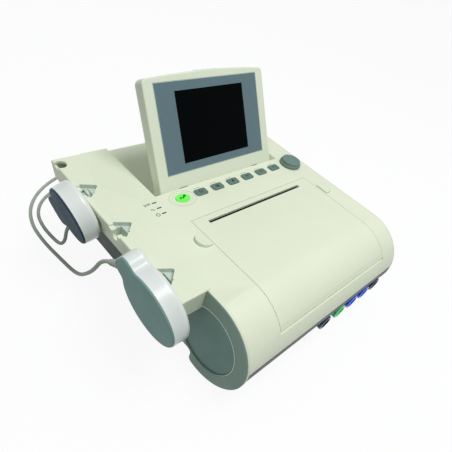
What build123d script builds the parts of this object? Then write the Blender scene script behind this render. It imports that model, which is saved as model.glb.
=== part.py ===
from build123d import *
import os
from functools import cache
from math import cos, hypot, pi, radians, sin, sqrt, tan

# Fetal monitor: a flat desktop case with a round nose, a fold-flat display, a paper drawer
# over the nose, a row of keys with a jog knob, and a shelf on the left that holds two
# transducers. Millimetres, +X to the user's right, -Y to the front, +Z up. The origin is
# the middle of the base of everything but the transducer cables.

# Case
body_width = 295.0          # outer face of the left side panel to that of the right
body_depth = 346.5          # front of the nose to the rear wall
deck_height = 118.0         # standing surface to the flat top deck
underside_height = 20.0     # standing surface to the underside of the case
split_height = 68.0         # standing surface to the seam between the two covers
wall = 3.0                  # moulded wall of the two covers
nose_floor_gap = 4.0        # standing surface to the underside of the nose
nose_tail = 14.0            # how far the nose drum reaches back under the case
nose_tail_round = 6.0
nose_tail_hollow = 5.0      # rounding where the drum meets the underside
rear_bevel = 25.0           # slope behind the deck, as deep as it is high
side_panel_thickness = 4.0
dish_rim = 16.0             # flat ring round the shallow dish in each side panel
dish_depth = 1.5
dish_drop = 2.0             # how far the dish lies below the middle of the nose
panel_edge = 0.8
lower_nose_inset = 0.6      # how far the dark lower cover lies inside the nose
seam_lip = 5.0              # lip of the bottom cover inside the top cover
seam_lip_thickness = 2.0

# Fits
rest_gap = 0.3              # between pieces that move past each other
seam_gap = 0.5              # visible line round the drawer cover and the panels
pin_gap = 0.05              # radial running clearance of a pin or shaft
touch_gap = 0.2             # between neighbours that only lie side by side

# Display, hinged at its lower front edge
display_width = 198.0
display_height = 131.5      # along its face, deck to the middle of the top edge
display_crown = 4.0         # how much lower the top edge is at its corners
display_thickness = 18.0
display_tilt = 59.2         # at rest, degrees from lying flat
display_wall = 2.5
display_back_round = 6.0
bezel_depth = 9.0           # front housing, the rest is the rear housing
display_setback = 217.5     # front of the nose to the display's face at deck level
display_corner = 7.0
display_edge = 1.5
hinge_depth = 8.0           # hinge axis behind the face, also the radius of its barrel
hinge_pin_radius = 2.5
hinge_pin_reach = 8.0       # pin beyond each side of its bracket
hinge_bracket_width = 12.0
hinge_bracket_spacing = 130.0
hinge_eye_radius = 6.5
hinge_leg_shift = 0.6       # front of each bracket's leg behind the axis
hinge_end_wall = 6.0        # solid end of the bezel's barrel
housing_foot = 12.0         # hinge axis to where the housing becomes hollow
housing_foot_gap = 2.0      # the rear housing starts this much further
window_width = 170.4
window_height = 107.0
window_rise = 15.5          # deck to the window's lower edge, along the face
window_thickness = 1.4
window_ledge = 4.0
window_sink = 0.1           # below the face of the bezel
window_corner = 1.5
screen_width = 112.9
screen_height = 84.7
screen_rise = 26.1
screen_sink = 0.3
screen_frame = 6.0          # module beyond its viewing area
lens_width = 34.0           # alarm lamp lens in the middle of the top edge
lens_height = 4.0
lens_depth = 10.0
lens_sink = 1.0             # behind the face
lens_proud = 0.4            # above the top edge
lens_round = 1.2
vent_count = 6
vent_pitch = 5.0
vent_width = 2.0
vent_length = 60.0
vent_rise = 92.0
recess_depth = 18.5         # pan that the display folds into
recess_margin = 10.5        # pan edge beyond the display's sides at deck level
recess_floor_inset = 8.0    # how far its side walls lean in
recess_front_gap = 3.0      # lets the display tilt forward

# Keys, lamps and knob on the strip between display and drawer
key_count = 6
key_pitch = 27.7
key_width = 18.0
key_length = 11.0
key_round = 3.0
key_rise = 1.5              # key top above the deck
key_edge = 0.7
key_travel = 0.9
key_setback = 18.9          # display face to the row of keys
first_key_offset = -52.0    # from the middle of the case
start_key_offset = -80.7
start_key_width = 20.0
start_key_length = 14.0
start_key_rise = 1.2
key_flange = 1.5            # how far a key's flange reaches under the deck
key_flange_thickness = 1.2
key_stem_radius = 2.5
key_stem_length = 2.0
switch_size = 6.0
lamp_offset = -117.0
lamp_length = 6.0
lamp_width = 2.0
lamp_setback = 11.8
lamp_pitch = 9.6
lamp_count = 3
lamp_gap = 0.1
light_pipe_radius = 0.85
knob_offset = 120.0
knob_setback = 22.5
knob_radius = 15.5
knob_height = 8.5
knob_dish = 1.2
knob_skirt_share = 0.45     # of the height
knob_skirt_step = 1.6
knob_skirt_edge = 1.2
knob_crown_edge = 1.8
knob_shaft_radius = 3.0
knob_shaft_length = 12.0
knob_shaft_depth = 6.0      # deck to its lower end
knob_travel = 0.6
encoder_size = 14.0
encoder_height = 7.0
encoder_bushing_radius = 4.5
key_board_thickness = 1.6
key_board_depth = 11.5      # deck to the top of the key board
key_board_width = 26.0
key_board_shift = 3.0       # middle of the board in front of the keys
key_board_margin = 8.0      # beyond the lamps
key_board_post_inset = 8.0
key_board_right_margin = 2.0
key_board_post_setback = 4.0

# Paper drawer cover, latches, bin and printer
drawer_width = 211.0
drawer_offset = 8.0         # middle of the drawer from the middle of the case
drawer_setback = 55.8       # display face to the drawer's rear edge
drawer_lip_drop = 28.0      # deck to the cover's lower line on the nose
drawer_barrel_radius = 3.0
drawer_pin_radius = 1.5
drawer_pin_length = 9.0
slot_length = 168.0
slot_width = 4.6
slot_inset = 10.0           # drawer's rear edge to the middle of the paper slot
slot_offset = 5.0           # middle of the slot from the middle of the case
latch_width = 15.0
latch_length = 20.0
latch_rise = 4.5
latch_slope = 10.0          # degrees, highest at its outer end
latch_flange = 1.2
latch_stem_width = 6.0
latch_stem_depth = 8.0
latch_hook_thickness = 2.0
latch_hook_depth = 3.0      # catch on the drawer, along X
latch_hook_reach = 2.5
catch_width = 10.0
catch_drop = 8.0            # deck to the lower edge of the catch
latch_setback = 31.0        # drawer's rear edge to the middle of the latch
latch_gap = 3.0             # drawer edge to the latch's straight side
latch_stem = 9.0
paper_width = 152.0
paper_length = 90.0
paper_stack = 20.0
bin_wall = 2.0
bin_clearance = 3.0
bin_setback = 37.0          # drawer's rear edge to the outside of the bin
bin_leg_inset = 12.0
bin_leg_front = 30.0
bin_leg_rear = 10.0
fold_count = 5
fold_depth = 0.5
fold_height = 0.4
bin_drop = 50.0             # deck to the underside of the bin
bin_rear_drop = 16.0        # deck to the bin's rear edge
roller_length = 160.0
roller_radius = 6.0
roller_shaft_radius = 2.5
roller_drop = 13.0          # deck to the platen roller's axis
roller_flange = 3.0
arm_front = 8.0             # roller arms, from the roller's axis
arm_rear = 6.0
arm_low = 5.0
roller_stub = 2.0           # shaft beyond its left arm
gear_module = 1.0
roller_teeth = 16
drive_teeth = 12
gear_width = 5.0
gear_fill = 0.40            # share of the pitch that a tooth fills
gear_addendum = 0.85
gear_dedendum = 1.25
root_share = 0.75           # half width of a tooth at its root, of what it fills
tip_share = 0.28
tooth_foot = 0.6            # of the root radius
pinion_shaft_radius = 1.5
pinion_shaft_length = 6.0
motor_size = 20.0
motor_length = 24.0
motor_gap = 1.0             # pinion to the motor
motor_bore_depth = 8.0
motor_tab = 6.0
motor_tab_gap = 2.0
head_thickness = 5.0
head_height = 17.0
head_drop = 4.0             # below the inside of the deck
head_step = 1.2
head_step_height = 3.0
head_tab_width = 12.0
head_tab = 3.0
head_tab_inset = 10.0
head_tab_gap = 1.0
head_tab_length = 8.0

# Sockets on the lower front
socket_spacings = (0.0, 32.0, 62.0, 92.0, 121.0)
first_socket_offset = 5.5
socket_height = 40.0
socket_front_gap = 0.2      # front of the nose to the rims
socket_edge = 0.8
socket_step = 1.0           # collar beyond the barrel
socket_radius = 10.5
socket_bore_radius = 7.5
socket_bore_depth = 10.0
socket_reach = 17.0         # front rim to the rear of the socket
socket_rib_count = 18
socket_rib_depth = 0.6
socket_rib_inset = 1.5
contact_count = 6
contact_ring_radius = 4.0
contact_radius = 0.6
contact_depth = 3.0
socket_panel_inset = 12.5   # front of the nose to the socket panel
socket_panel_thickness = 2.5
socket_panel_left_margin = 45.0
socket_panel_right_margin = 13.5
socket_panel_low = 27.0
socket_panel_high = 53.0

# Transducer shelf along the left side
shelf_overhang = 34.0
shelf_height = 26.0
shelf_slant = 11.7          # outer face leans in towards the bottom, degrees
shelf_edge = 1.5
shelf_front = 76.0          # front of the nose to the front of the shelf
shelf_corner = 3.0
shelf_lip = 6.0
shelf_lip_drop = 2.5
pocket_width = 25.0
pocket_length = 17.0
pocket_depth = 17.0         # where the head of a belt button hangs
pocket_dish_depth = 5.5     # rest of the pocket
pocket_head_length = 8.5    # room for the head, inwards
pocket_head_gap = 0.8
pocket_wall = 2.5
rear_pocket_setback = -38.0     # display face to the middle of each pocket
middle_pocket_setback = 32.0
front_pocket_setback = 107.0
neck_slot_gap = 0.5         # beside the neck of a hung belt button
corner_notch_radius = 7.0
corner_notch_inset = 12.0
corner_notch_depth = 4.5
neck_slot_margin = 2.0      # pocket beyond the lowered lip

# Belt button that a transducer hangs by
button_neck_radius = 4.0
button_head_radius = 7.0
button_head_thickness = 3.0
button_drop = 9.0           # deck to the middle of the hung neck

# Transducers, rear one first: radius, thickness, lean, lobe direction and reach
transducer_radii = (36.5, 43.0)
transducer_thicknesses = (22.0, 20.5)
transducer_leans = (17.0, 11.7)
transducer_setbacks = (-29.6, 118.9)       # display face to the middle of each disc
transducer_drops = (15.9, 17.2)            # deck to the middle of each disc
hung_setbacks = (rear_pocket_setback, front_pocket_setback)
transducer_gap = 0.35       # back of each to the shelf's lower edge
lobe_directions = (-33.0, 36.0)            # from straight back, upwards positive
lobe_reaches = (57.0, 57.0)
lobe_width = 42.0
lobe_corner = 13.0
lobe_blend = 8.0            # rounding where the lobe leaves the disc
transducer_wall = 2.5
transducer_edge = 5.0
element_room_inset = 6.0    # disc's outside to the room for the element
rim_taper = 4.5             # degrees
face_inset = 2.0
face_thickness = 2.0
element_radius = 25.0
element_thickness = 3.0
crystal_radius = 5.0
crystal_thickness = 1.5
crystal_ring_radius = 16.0
crystal_count = 6
relief_root_radius = 6.0
relief_tip_radius = 3.0
relief_lengths = (20.0, 30.0)
relief_radius = 45.3        # middle of the disc to where the strain relief starts
relief_swing = 22.0         # degrees below the lobe's direction
relief_drops = (65.0, 28.0)                # degrees below the horizontal
relief_outward = (5.0, 11.0)               # degrees away from the case

# Cables: free route, then a put-away coil and its plug
cable_diameter = 4.5
cable_length = 2500.0
cable_lead = 12.0           # straight stretch beyond each strain relief
coil_gap = 0.5              # between neighbouring turns
coil_steps = 5              # half turns in each layer
coil_last_turns = (2.0, 4.0)   # how much wider its last two half turns are
coil_centres = ((110.3, 229.3), (194.3, 226.5))
plug_radius = socket_bore_radius - rest_gap
plug_length = 20.0
plug_grip_radius = 8.5
plug_grip_length = 18.0
plug_boot_length = 14.0
plug_boot_wall = 1.0
plug_boot_step = 1.5
plug_edge = 1.0
plug_sleeve_depth = 6.0     # its solid root
plug_sleeve_wall = 1.0
plug_core_gap = 2.5
plug_core_sink = 3.0

# Free cable, by hand: from the lead below each strain relief to the coil, rear one first
cable_corners = (
    (
        (-150.3, 111.8, 18.5),
        (-151.9, 120.3, 4.8),
        (-153.7, 137.3, 2.3),
        (-155.2, 162.3, 2.3),
        (-150.7, 190.3, 2.3),
        (-131.7, 216.3, 2.3),
        (-95.7, 234.3, 2.3),
        (-47.7, 238.3, 2.3),
        (-1.7, 250.3, 2.3),
        (38.3, 253.3, 2.3),
    ),
    (
        (-168.9, 14.0, 68.0),
        (-165.7, 32.7, 42.0),
        (-161.2, 53.3, 17.0),
        (-159.7, 74.3, 3.4),
        (-162.7, 102.3, 2.3),
        (-166.7, 136.3, 2.3),
        (-165.7, 174.3, 2.3),
        (-151.7, 210.3, 2.3),
        (-121.7, 240.3, 2.3),
        (-79.7, 260.3, 2.3),
        (-27.7, 269.3, 2.3),
        (30.3, 270.3, 2.3),
        (86.3, 274.3, 2.3),
        (134.3, 266.3, 2.3),
    ),
)
cable_last_runs = (33.0, 26.0)   # straight into each coil

# Inside the case
board_thickness = 1.6
main_board_width = 180.0
main_board_length = 105.0
standoff_height = 8.0
standoff_radius = 4.0
standoff_inset = 6.0
main_board_shift = 15.0     # left of the middle of the case
main_board_setback = 75.0   # rear wall to its middle
chip_size = 24.0
chip_height = 3.0
chip_pitch = 40.0
chip_count = 3
header_length = 25.0
header_depth = 7.0
header_height = 8.0
header_inset = 3.0
supply_width = 62.0
supply_length = 100.0
supply_height = 34.0
supply_side_gap = 8.0
supply_setback = 38.0
supply_spacer = 4.0
coil_block_size = 30.0
coil_block_inset = 26.0
coil_block_setback = 30.0
capacitor_radius = 11.0
capacitor_inset = 40.0
capacitor_setback = 80.0
capacitor_drop = 4.0
heat_sink_thickness = 6.0
heat_sink_inset = 14.0
heat_sink_length = 70.0
heat_sink_setback = 20.0
heat_sink_drop = 6.0
battery_width = 62.0
battery_length = 95.0
battery_height = 22.0
battery_side_gap = 10.0
battery_gap = 3.0           # behind the front case post
battery_corner = 3.0
speaker_radius = 24.0
speaker_depth = 16.0
speaker_rim = 4.0
speaker_cone_inset = 3.0
speaker_cone_radius = 13.0
speaker_cone_height = 6.0
magnet_radius = 15.0
magnet_rise = 9.0
speaker_side_gap = 36.0
speaker_setback = 60.0
speaker_slot_count = 5
speaker_slot_pitch = 8.0
speaker_slot_width = 3.0
speaker_slot_length = 32.0
post_radius = 5.0
screw_radius = 2.0
screw_head_radius = 4.0
screw_head_height = 2.5
screw_length = 22.0
post_inset = 16.0

# Rear wall
rear_panel_width = 190.0
rear_panel_low = 30.0
rear_panel_high = 84.0
rear_panel_thickness = 2.0
rear_panel_sink = 0.5
inlet_width = 27.5
inlet_height = 20.0
inlet_flange = 4.0
inlet_depth = 26.0
inlet_well = 17.0
inlet_wall = 1.5
inlet_offset = 62.0         # from the middle of the case
clamp_thickness = 2.0       # rims behind the rear panel
blade_pitch = 7.0
blade_shift = 2.0           # middle blade up, the others down
blade_width = 2.0
blade_height = 4.0
blade_sink = 3.0
rocker_width = 14.0
rocker_height = 20.0
rocker_throw = 9.0
rocker_barrel = 5.0
rocker_housing_depth = 18.0
rocker_well = 10.0
rocker_wall = 1.0
rocker_rim = 2.0
rocker_end_gap = 0.6
rocker_proud = 1.5
rocker_hollow = 1.0         # ends lower than the middle
rocker_root = 2.0

# Feet
foot_radius = 9.0
foot_height = 6.0
foot_edge = 1.0
foot_boss_radius = 11.0
foot_side_inset = 30.0
foot_rear_inset = 22.0

# Places that follow from the sizes above
far = 500.0                 # beyond everything
nose_radius = (deck_height - nose_floor_gap) / 2
y_front = -body_depth / 2
y_rear = body_depth / 2
y_deck_rear = y_rear - rear_bevel
y_face = y_front + display_setback
y_nose = y_front + nose_radius
z_nose = deck_height - nose_radius
y_keys = y_face - key_setback
y_drawer = y_face - drawer_setback
y_shelf_front = y_front + shelf_front
theta = radians(display_tilt)
y_hinge = y_face + hinge_depth * (sin(theta) - cos(theta) * tan(theta / 2))
z_hinge = deck_height - hinge_depth


def box(x0, x1, y0, y1, z0, z1):
    return Pos((x0 + x1) / 2, (y0 + y1) / 2, (z0 + z1) / 2) * Box(x1 - x0, y1 - y0, z1 - z0)


def rod_x(x0, x1, y, z, radius):
    return Pos((x0 + x1) / 2, y, z) * Rot(0, 90, 0) * Cylinder(radius, x1 - x0)


def rod_y(x, y0, y1, z, radius):
    return Pos(x, (y0 + y1) / 2, z) * Rot(90, 0, 0) * Cylinder(radius, y1 - y0)


def rod_z(x, y, z0, z1, radius):
    return Pos(x, y, (z0 + z1) / 2) * Cylinder(radius, z1 - z0)


def sweep_x(sketch, x0, x1):
    """Extrudes a sketch drawn in Y and Z from x0 to x1."""
    return extrude(Plane.YZ.offset(x0) * sketch, x1 - x0)


# Transducers, each in its own frame: origin at the middle of its back, +X out of the face,
# +Y to the front, +Z up

def lobe_outline(index, inset):
    """Round disc with a squarish lobe that the cable leaves by."""
    radius, reach = transducer_radii[index], lobe_reaches[index]
    lobe = RectangleRounded(
        2 * (reach - inset), lobe_width - 2 * inset, lobe_corner - inset
    )
    half = Pos(reach, 0) * Rectangle(2 * reach, 2 * reach)
    turn = Rot(0, 0, 180 - lobe_directions[index])
    outline = Circle(radius - inset) + turn * (lobe & half)
    hollows = [v for v in outline.vertices() if abs(hypot(v.X, v.Y) - radius + inset) < 0.01]
    return fillet(hollows, lobe_blend)


@cache
def transducer_shell(index):
    depth = transducer_thicknesses[index] - face_thickness
    solid = extrude(Plane.YZ * lobe_outline(index, 0), depth, taper=rim_taper)
    back_edges = solid.faces().sort_by(Axis.X)[0].edges()
    solid = fillet(back_edges, transducer_edge)
    room = Circle(transducer_radii[index] - element_room_inset)
    return solid - extrude(Plane.YZ.offset(transducer_wall) * room, depth)


@cache
def transducer_face(index):
    x0 = transducer_thicknesses[index] - face_thickness
    plate = extrude(Plane.YZ.offset(x0) * lobe_outline(index, face_inset), face_thickness)
    rim = plate.faces().sort_by(Axis.X)[-1].edges()
    return fillet(rim, face_thickness - rest_gap)


def transducer_element(index):
    depth = transducer_thicknesses[index]
    x_board = depth - face_thickness - crystal_thickness - element_thickness
    board = rod_x(x_board, x_board + element_thickness, 0, 0, element_radius)
    x_top = x_board + element_thickness + crystal_thickness
    for turn in range(crystal_count):
        angle = 2 * pi * turn / crystal_count
        y = crystal_ring_radius * cos(angle)
        z = crystal_ring_radius * sin(angle)
        board += rod_x(x_board, x_top, y, z, crystal_radius)
    board += rod_x(transducer_wall, x_board, 0, 0, crystal_radius)
    return board


def hang_x(index, drop):
    """How far inside the shelf's top edge a hung transducer's back is, this far below the deck."""
    lean = tan(radians(transducer_leans[index]))
    stand_off = shelf_height * (lean - tan(radians(shelf_slant))) + transducer_gap
    return drop * lean - stand_off


def belt_button(index):
    """Button on the back: a neck through the shelf's lip and a head in the pocket."""
    lean = radians(transducer_leans[index])
    y = hung_setbacks[index] - transducer_setbacks[index]
    z = (transducer_drops[index] - button_drop) / cos(lean)
    clear = shelf_lip + rest_gap + button_head_radius * sin(lean)
    neck_length = (clear - hang_x(index, button_drop)) / cos(lean)
    neck = rod_x(-neck_length, 0, y, z, button_neck_radius)
    x_head = -neck_length - button_head_thickness
    return neck + rod_x(x_head, -neck_length, y, z, button_head_radius)


def hang(index):
    """Places a transducer's own frame where it hangs, for a case whose shelf edge is at x=0."""
    drop = transducer_drops[index]
    place = Pos(hang_x(index, drop), y_face - transducer_setbacks[index], deck_height - drop)
    return place * Rot(0, -transducer_leans[index], 0) * Rot(0, 0, 180)


def reach_beyond_shelf():
    """How far the hung transducers stand out past the top edge of the shelf."""
    reaches = []
    for index in range(2):
        shell = hang(index) * transducer_shell(index)
        face = hang(index) * transducer_face(index)
        low = min(shell.bounding_box().min.X, face.bounding_box().min.X)
        reaches.append(-low)
    return max(reaches)


x_right = (body_width + shelf_overhang + reach_beyond_shelf()) / 2
x_left = x_right - body_width
x_body = (x_left + x_right) / 2
x_shelf = x_left - shelf_overhang
x_cover_left = x_left + side_panel_thickness
x_cover_right = x_right - side_panel_thickness
x_drawer = x_body + drawer_offset
x_drawer_left = x_drawer - drawer_width / 2
x_drawer_right = x_drawer + drawer_width / 2


# Case covers

def case_sketch(inset, nose_inset):
    """Side view of the case in Y and Z: a bevelled slab with a round nose."""
    rear = y_rear - inset
    top = deck_height - inset
    bottom = underside_height + inset
    shift = inset * tan(radians(22.5))
    slab = Polygon(
        (y_nose, bottom),
        (rear, bottom),
        (rear, deck_height - rear_bevel - shift),
        (y_deck_rear - shift, top),
        (y_nose, top),
        align=None,
    )
    drum = Pos(y_nose, z_nose) * Circle(nose_radius - nose_inset)
    keep = Pos(y_nose + nose_tail - inset, z_nose) * Rectangle(
        4 * nose_radius, 2 * nose_radius, align=(Align.MAX, Align.CENTER)
    )
    outline = slab + (drum & keep)
    y_tail = y_nose + nose_tail - inset
    tail = [v for v in outline.vertices() if abs(v.X - y_tail) < 0.01]
    tail.sort(key=lambda vertex: vertex.Y)
    outline = fillet(tail[-1], nose_tail_hollow + inset)
    tail = [v for v in outline.vertices() if abs(v.X - y_tail) < 0.01]
    tail.sort(key=lambda vertex: vertex.Y)
    return fillet(tail[0], nose_tail_round - inset)


def case_solid(inset, nose_inset, x0, x1):
    return sweep_x(case_sketch(inset, nose_inset), x0, x1)


def above(height):
    return box(-far, far, -far, far, height, far)


def recess_solid(y0, y1, grow):
    """Pan that the display folds into, with sloped side walls."""
    half = display_width / 2 + recess_margin + grow
    floor = deck_height - recess_depth - grow
    top = deck_height + 1
    outline = Polygon(
        (-half, top),
        (-half, deck_height),
        (-half + recess_floor_inset, floor),
        (half - recess_floor_inset, floor),
        (half, deck_height),
        (half, top),
        align=None,
    )
    sketch = Plane.XZ.offset(-y1) * Pos(x_body, 0) * outline
    return extrude(sketch, y1 - y0)


def drawer_region(gap):
    """Block that holds the drawer cover's stretch of the case wall."""
    z_edge = deck_height - drawer_lip_drop
    y0 = y_front - wall
    y1 = y_drawer
    return box(
        x_drawer_left - gap, x_drawer_right + gap, y0, y1 + gap, z_edge - gap,
        deck_height + 2 * latch_rise,
    )


def drawer_axis():
    """Hinge axis of the drawer cover, one barrel radius inside the nose."""
    z_axis = deck_height - drawer_lip_drop + drawer_barrel_radius
    reach = nose_radius - drawer_barrel_radius
    y_axis = y_nose - sqrt(reach**2 - (z_axis - z_nose) ** 2)
    return y_axis, z_axis


def shelf_block(inset, z_top, z_bottom, x_inner):
    """Shelf block whose outer face leans in towards the bottom."""
    slant = tan(radians(shelf_slant))
    y0 = y_shelf_front + inset
    length = y_deck_rear - inset - y0

    def outline(z):
        x0 = x_shelf + inset + (deck_height - z) * slant
        width = x_inner - x0
        corner = shelf_corner
        face = RectangleRounded(width, length, corner, align=Align.MIN)
        square = Pos(corner, 0) * Rectangle(width - corner, length, align=Align.MIN)
        square += Pos(0, corner) * Rectangle(width, length - corner, align=Align.MIN)
        return Plane.XY.offset(z) * Pos(x0, y0) * (face + square)

    return loft([outline(z_bottom), outline(z_top)], ruled=True)


def pocket_sketch(grow):
    """Triangle with its base along the shelf edge and its point inwards."""
    half = pocket_width / 2 + grow
    tip = pocket_length + grow
    return make_hull(
        [
            *(Pos(1, half - 1) * Circle(1)).edges(),
            *(Pos(1, 1 - half) * Circle(1)).edges(),
            *(Pos(tip - 2, half / 4) * Circle(2)).edges(),
        ]
    )


def head_room_sketch(grow):
    """Part of a pocket that the head of a belt button hangs in, beside the lip."""
    half = button_head_radius + pocket_head_gap + grow
    return Rectangle(pocket_head_length + grow, 2 * half, align=(Align.MIN, Align.CENTER))


def pocket_well(sketch, half, depth):
    """Walls and floor round one part of a pocket, out to the shelf's outer face."""
    lip = Pos(-shelf_lip, 0) * Rectangle(
        shelf_lip + 1, 2 * half, align=(Align.MIN, Align.CENTER)
    )
    height = depth + pocket_wall - wall / 2
    return Pos(0, 0, deck_height - depth - pocket_wall) * extrude(sketch + lip, height)


def pocket_places():
    setbacks = (rear_pocket_setback, middle_pocket_setback, front_pocket_setback)
    return [y_face - setback for setback in setbacks]


def shelf():
    x_inner = x_cover_left + wall
    z_low = deck_height - shelf_height
    block = shelf_block(0, deck_height, z_low, x_inner)
    rim = block.faces().sort_by(Axis.Z)[-1].edges()
    block = fillet([e for e in rim if e.center().X < x_left], shelf_edge)
    skin = block - shelf_block(wall, deck_height - wall, z_low - 1, x_cover_left)
    x_pocket = x_shelf + shelf_lip
    dish_half = pocket_width / 2 + pocket_wall
    head_half = button_head_radius + pocket_head_gap + pocket_wall
    for y in pocket_places():
        dish = pocket_well(pocket_sketch(pocket_wall), dish_half, pocket_dish_depth)
        head_room = pocket_well(head_room_sketch(pocket_wall), head_half, pocket_depth)
        skin += Pos(x_pocket, y) * (dish + head_room) & block
    for y in pocket_places():
        for sketch, depth in (
            (pocket_sketch(0), pocket_dish_depth),
            (head_room_sketch(0), pocket_depth),
        ):
            skin -= Pos(x_pocket, y, deck_height - depth) * extrude(sketch, depth + 1)
        skin -= neck_slot(y)
    notch = rod_z(
        x_shelf + corner_notch_inset / 2, y_deck_rear - corner_notch_inset,
        deck_height - corner_notch_depth, deck_height + 1, corner_notch_radius,
    )
    return skin - notch


def neck_slot(y):
    """Open slot in the shelf's lip for a belt button's neck, with a lowered lip beside it."""
    radius = button_neck_radius + neck_slot_gap
    z_bottom = deck_height - button_drop + neck_slot_gap
    x0 = x_shelf - shelf_lip
    x1 = x_shelf + shelf_lip + pocket_wall
    slot = rod_x(x0, x1, y, z_bottom, radius)
    slot += box(x0, x1, y - radius, y + radius, z_bottom, deck_height + 1)
    half = pocket_width / 2 - neck_slot_margin
    lip = box(x0, x1, y - half, y + half, deck_height - shelf_lip_drop, deck_height + 1)
    return slot + lip


def key_places():
    return [x_body + first_key_offset + key_pitch * i for i in range(key_count)]


def lamp_places():
    return [y_face - lamp_setback - lamp_pitch * i for i in range(lamp_count)]


def post_places():
    x0 = x_cover_left + post_inset
    x1 = x_cover_right - post_inset
    y1 = y_rear - post_inset
    y0 = y_nose + post_inset
    return [(x0, y0), (x1, y0), (x0, y1), (x1, y1)]


def latch_places():
    """Middle of the straight side of each latch, and the way it bulges."""
    y = y_drawer - latch_setback
    return {
        "left": (x_drawer_left - latch_gap, y, -1),
        "right": (x_drawer_right + latch_gap, y, 1),
    }


def latch_sketch(grow, side):
    """D shape with its straight side on the Y axis, bulging towards side."""
    width = latch_width + grow
    half = latch_length / 2 + grow
    disc = Pos(side * (width - half), 0) * Circle(half)
    bar = Pos(side * (width - half) / 2, 0) * Rectangle(abs(width - half), 2 * half)
    strip = Pos(side * width / 2 - side * grow / 2, 0) * Rectangle(width + grow, 2 * half)
    return (disc + bar) & strip


def start_key_sketch(grow):
    return Ellipse(start_key_width / 2 + grow, start_key_length / 2 + grow)


def key_sketch(grow):
    return RectangleRounded(key_width + 2 * grow, key_length + 2 * grow, key_round + grow)


def deck_holes():
    """Every opening through the deck for keys, lamps, knob and latches."""
    z0 = deck_height - wall - 1
    depth = wall + 2
    holes = Part()
    for x in key_places():
        holes += Pos(x, y_keys, z0) * extrude(key_sketch(rest_gap), depth)
    x_start = x_body + start_key_offset
    holes += Pos(x_start, y_keys, z0) * extrude(start_key_sketch(rest_gap), depth)
    x_lamp = x_body + lamp_offset
    for y in lamp_places():
        holes += Pos(x_lamp, y, z0 + depth / 2) * Box(lamp_length, lamp_width, depth)
    y_knob = y_face - knob_setback
    holes += rod_z(x_body + knob_offset, y_knob, z0, z0 + depth, encoder_bushing_radius)
    for x, y, side in latch_places().values():
        holes += Pos(x, y, z0) * extrude(latch_sketch(rest_gap, side), depth)
    return holes


def top_cover():
    outer = case_solid(0, 0, x_cover_left, x_cover_right)
    inner = case_solid(wall, wall, x_cover_left - 1, x_cover_right + 1)
    cover = (outer - inner) & above(split_height)
    barrel_room = hinge_depth + seam_gap
    pan = recess_solid(y_hinge - barrel_room - display_wall, y_rear, display_wall)
    cover += pan & outer & above(split_height)
    cover += shelf()
    cover -= recess_solid(y_face - recess_front_gap, y_rear + 1, 0)
    half = display_width / 2 + seam_gap
    cover -= rod_x(x_body - half, x_body + half, y_hinge, z_hinge, barrel_room)
    cover -= drawer_region(seam_gap)
    cover += drawer_lugs() & outer
    y_axis, z_axis = drawer_axis()
    for x, side in ((x_drawer_left, -1), (x_drawer_right, 1)):
        x_far = x + side * drawer_pin_length
        cover -= rod_x(min(x, x_far), max(x, x_far), y_axis, z_axis, drawer_pin_radius + pin_gap)
    cover -= deck_holes()
    board_top = deck_height - key_board_depth
    for x, y in key_board_posts():
        cover += rod_z(x, y, board_top, deck_height - wall, key_stem_radius)
    for x, y in post_places():
        cover += rod_z(x, y, underside_height + wall, deck_height - wall, post_radius) & outer
        cover -= rod_z(x, y, 0, underside_height + wall + screw_length, screw_radius)
    return cover - rear_panel_window()


def drawer_lugs():
    """Blocks inside the cover, one each side, that carry the drawer's hinge pins."""
    y_axis, z_axis = drawer_axis()
    size = 2 * drawer_barrel_radius
    lugs = Part()
    for x, side in ((x_drawer_left - seam_gap, -1), (x_drawer_right + seam_gap, 1)):
        x_far = x + side * drawer_pin_length
        lugs += box(
            min(x, x_far), max(x, x_far), y_axis - size, y_axis + size, z_axis - size,
            z_axis + size,
        )
    return lugs


def key_board_posts():
    x0 = x_body + lamp_offset + key_board_post_inset
    x1 = x_body + knob_offset - knob_radius - key_stem_radius
    y = y_keys - key_length / 2 - key_board_post_setback
    middle = (x0 + x1) / 2
    return [(x0, y), (middle, y), (x1, y)]


def rear_panel_window():
    half = rear_panel_width / 2
    return box(
        x_body - half, x_body + half, y_rear - wall - 1, y_rear + 1, rear_panel_low,
        rear_panel_high,
    )


def bottom_cover():
    outer = case_solid(0, lower_nose_inset, x_cover_left, x_cover_right)
    hollow = case_solid(wall, lower_nose_inset + wall, x_cover_left - 1, x_cover_right + 1)
    shell = (outer - hollow) - above(split_height)
    cover = shell + foot_bosses() - hollow + seam_lip_solid()
    for x, y in post_places():
        cover -= rod_z(x, y, 0, underside_height + 2 * wall, screw_radius + pin_gap)
        cover -= rod_z(
            x, y, 0, underside_height + screw_head_height, screw_head_radius + rest_gap
        )
    cover -= socket_bay()
    cover -= rear_panel_window()
    lip_room = rear_panel_width / 2 + seam_lip
    cover -= box(
        x_body - lip_room, x_body + lip_room, y_rear - 3 * wall, y_rear - wall,
        split_height - 3 * wall, split_height + 2 * seam_lip,
    )
    for x, y in standoff_places():
        cover += rod_z(
            x, y, underside_height + wall / 2, underside_height + wall + standoff_height,
            standoff_radius,
        )
    cover += bin_legs()
    for x, y in foot_places():
        cover -= rod_z(x, y, 0, foot_height, foot_radius + touch_gap)
    return cover - speaker_slots()


def foot_bosses():
    bosses = Part()
    for x, y in foot_places():
        bosses += rod_z(x, y, foot_height, underside_height + wall, foot_boss_radius)
    return bosses


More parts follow.
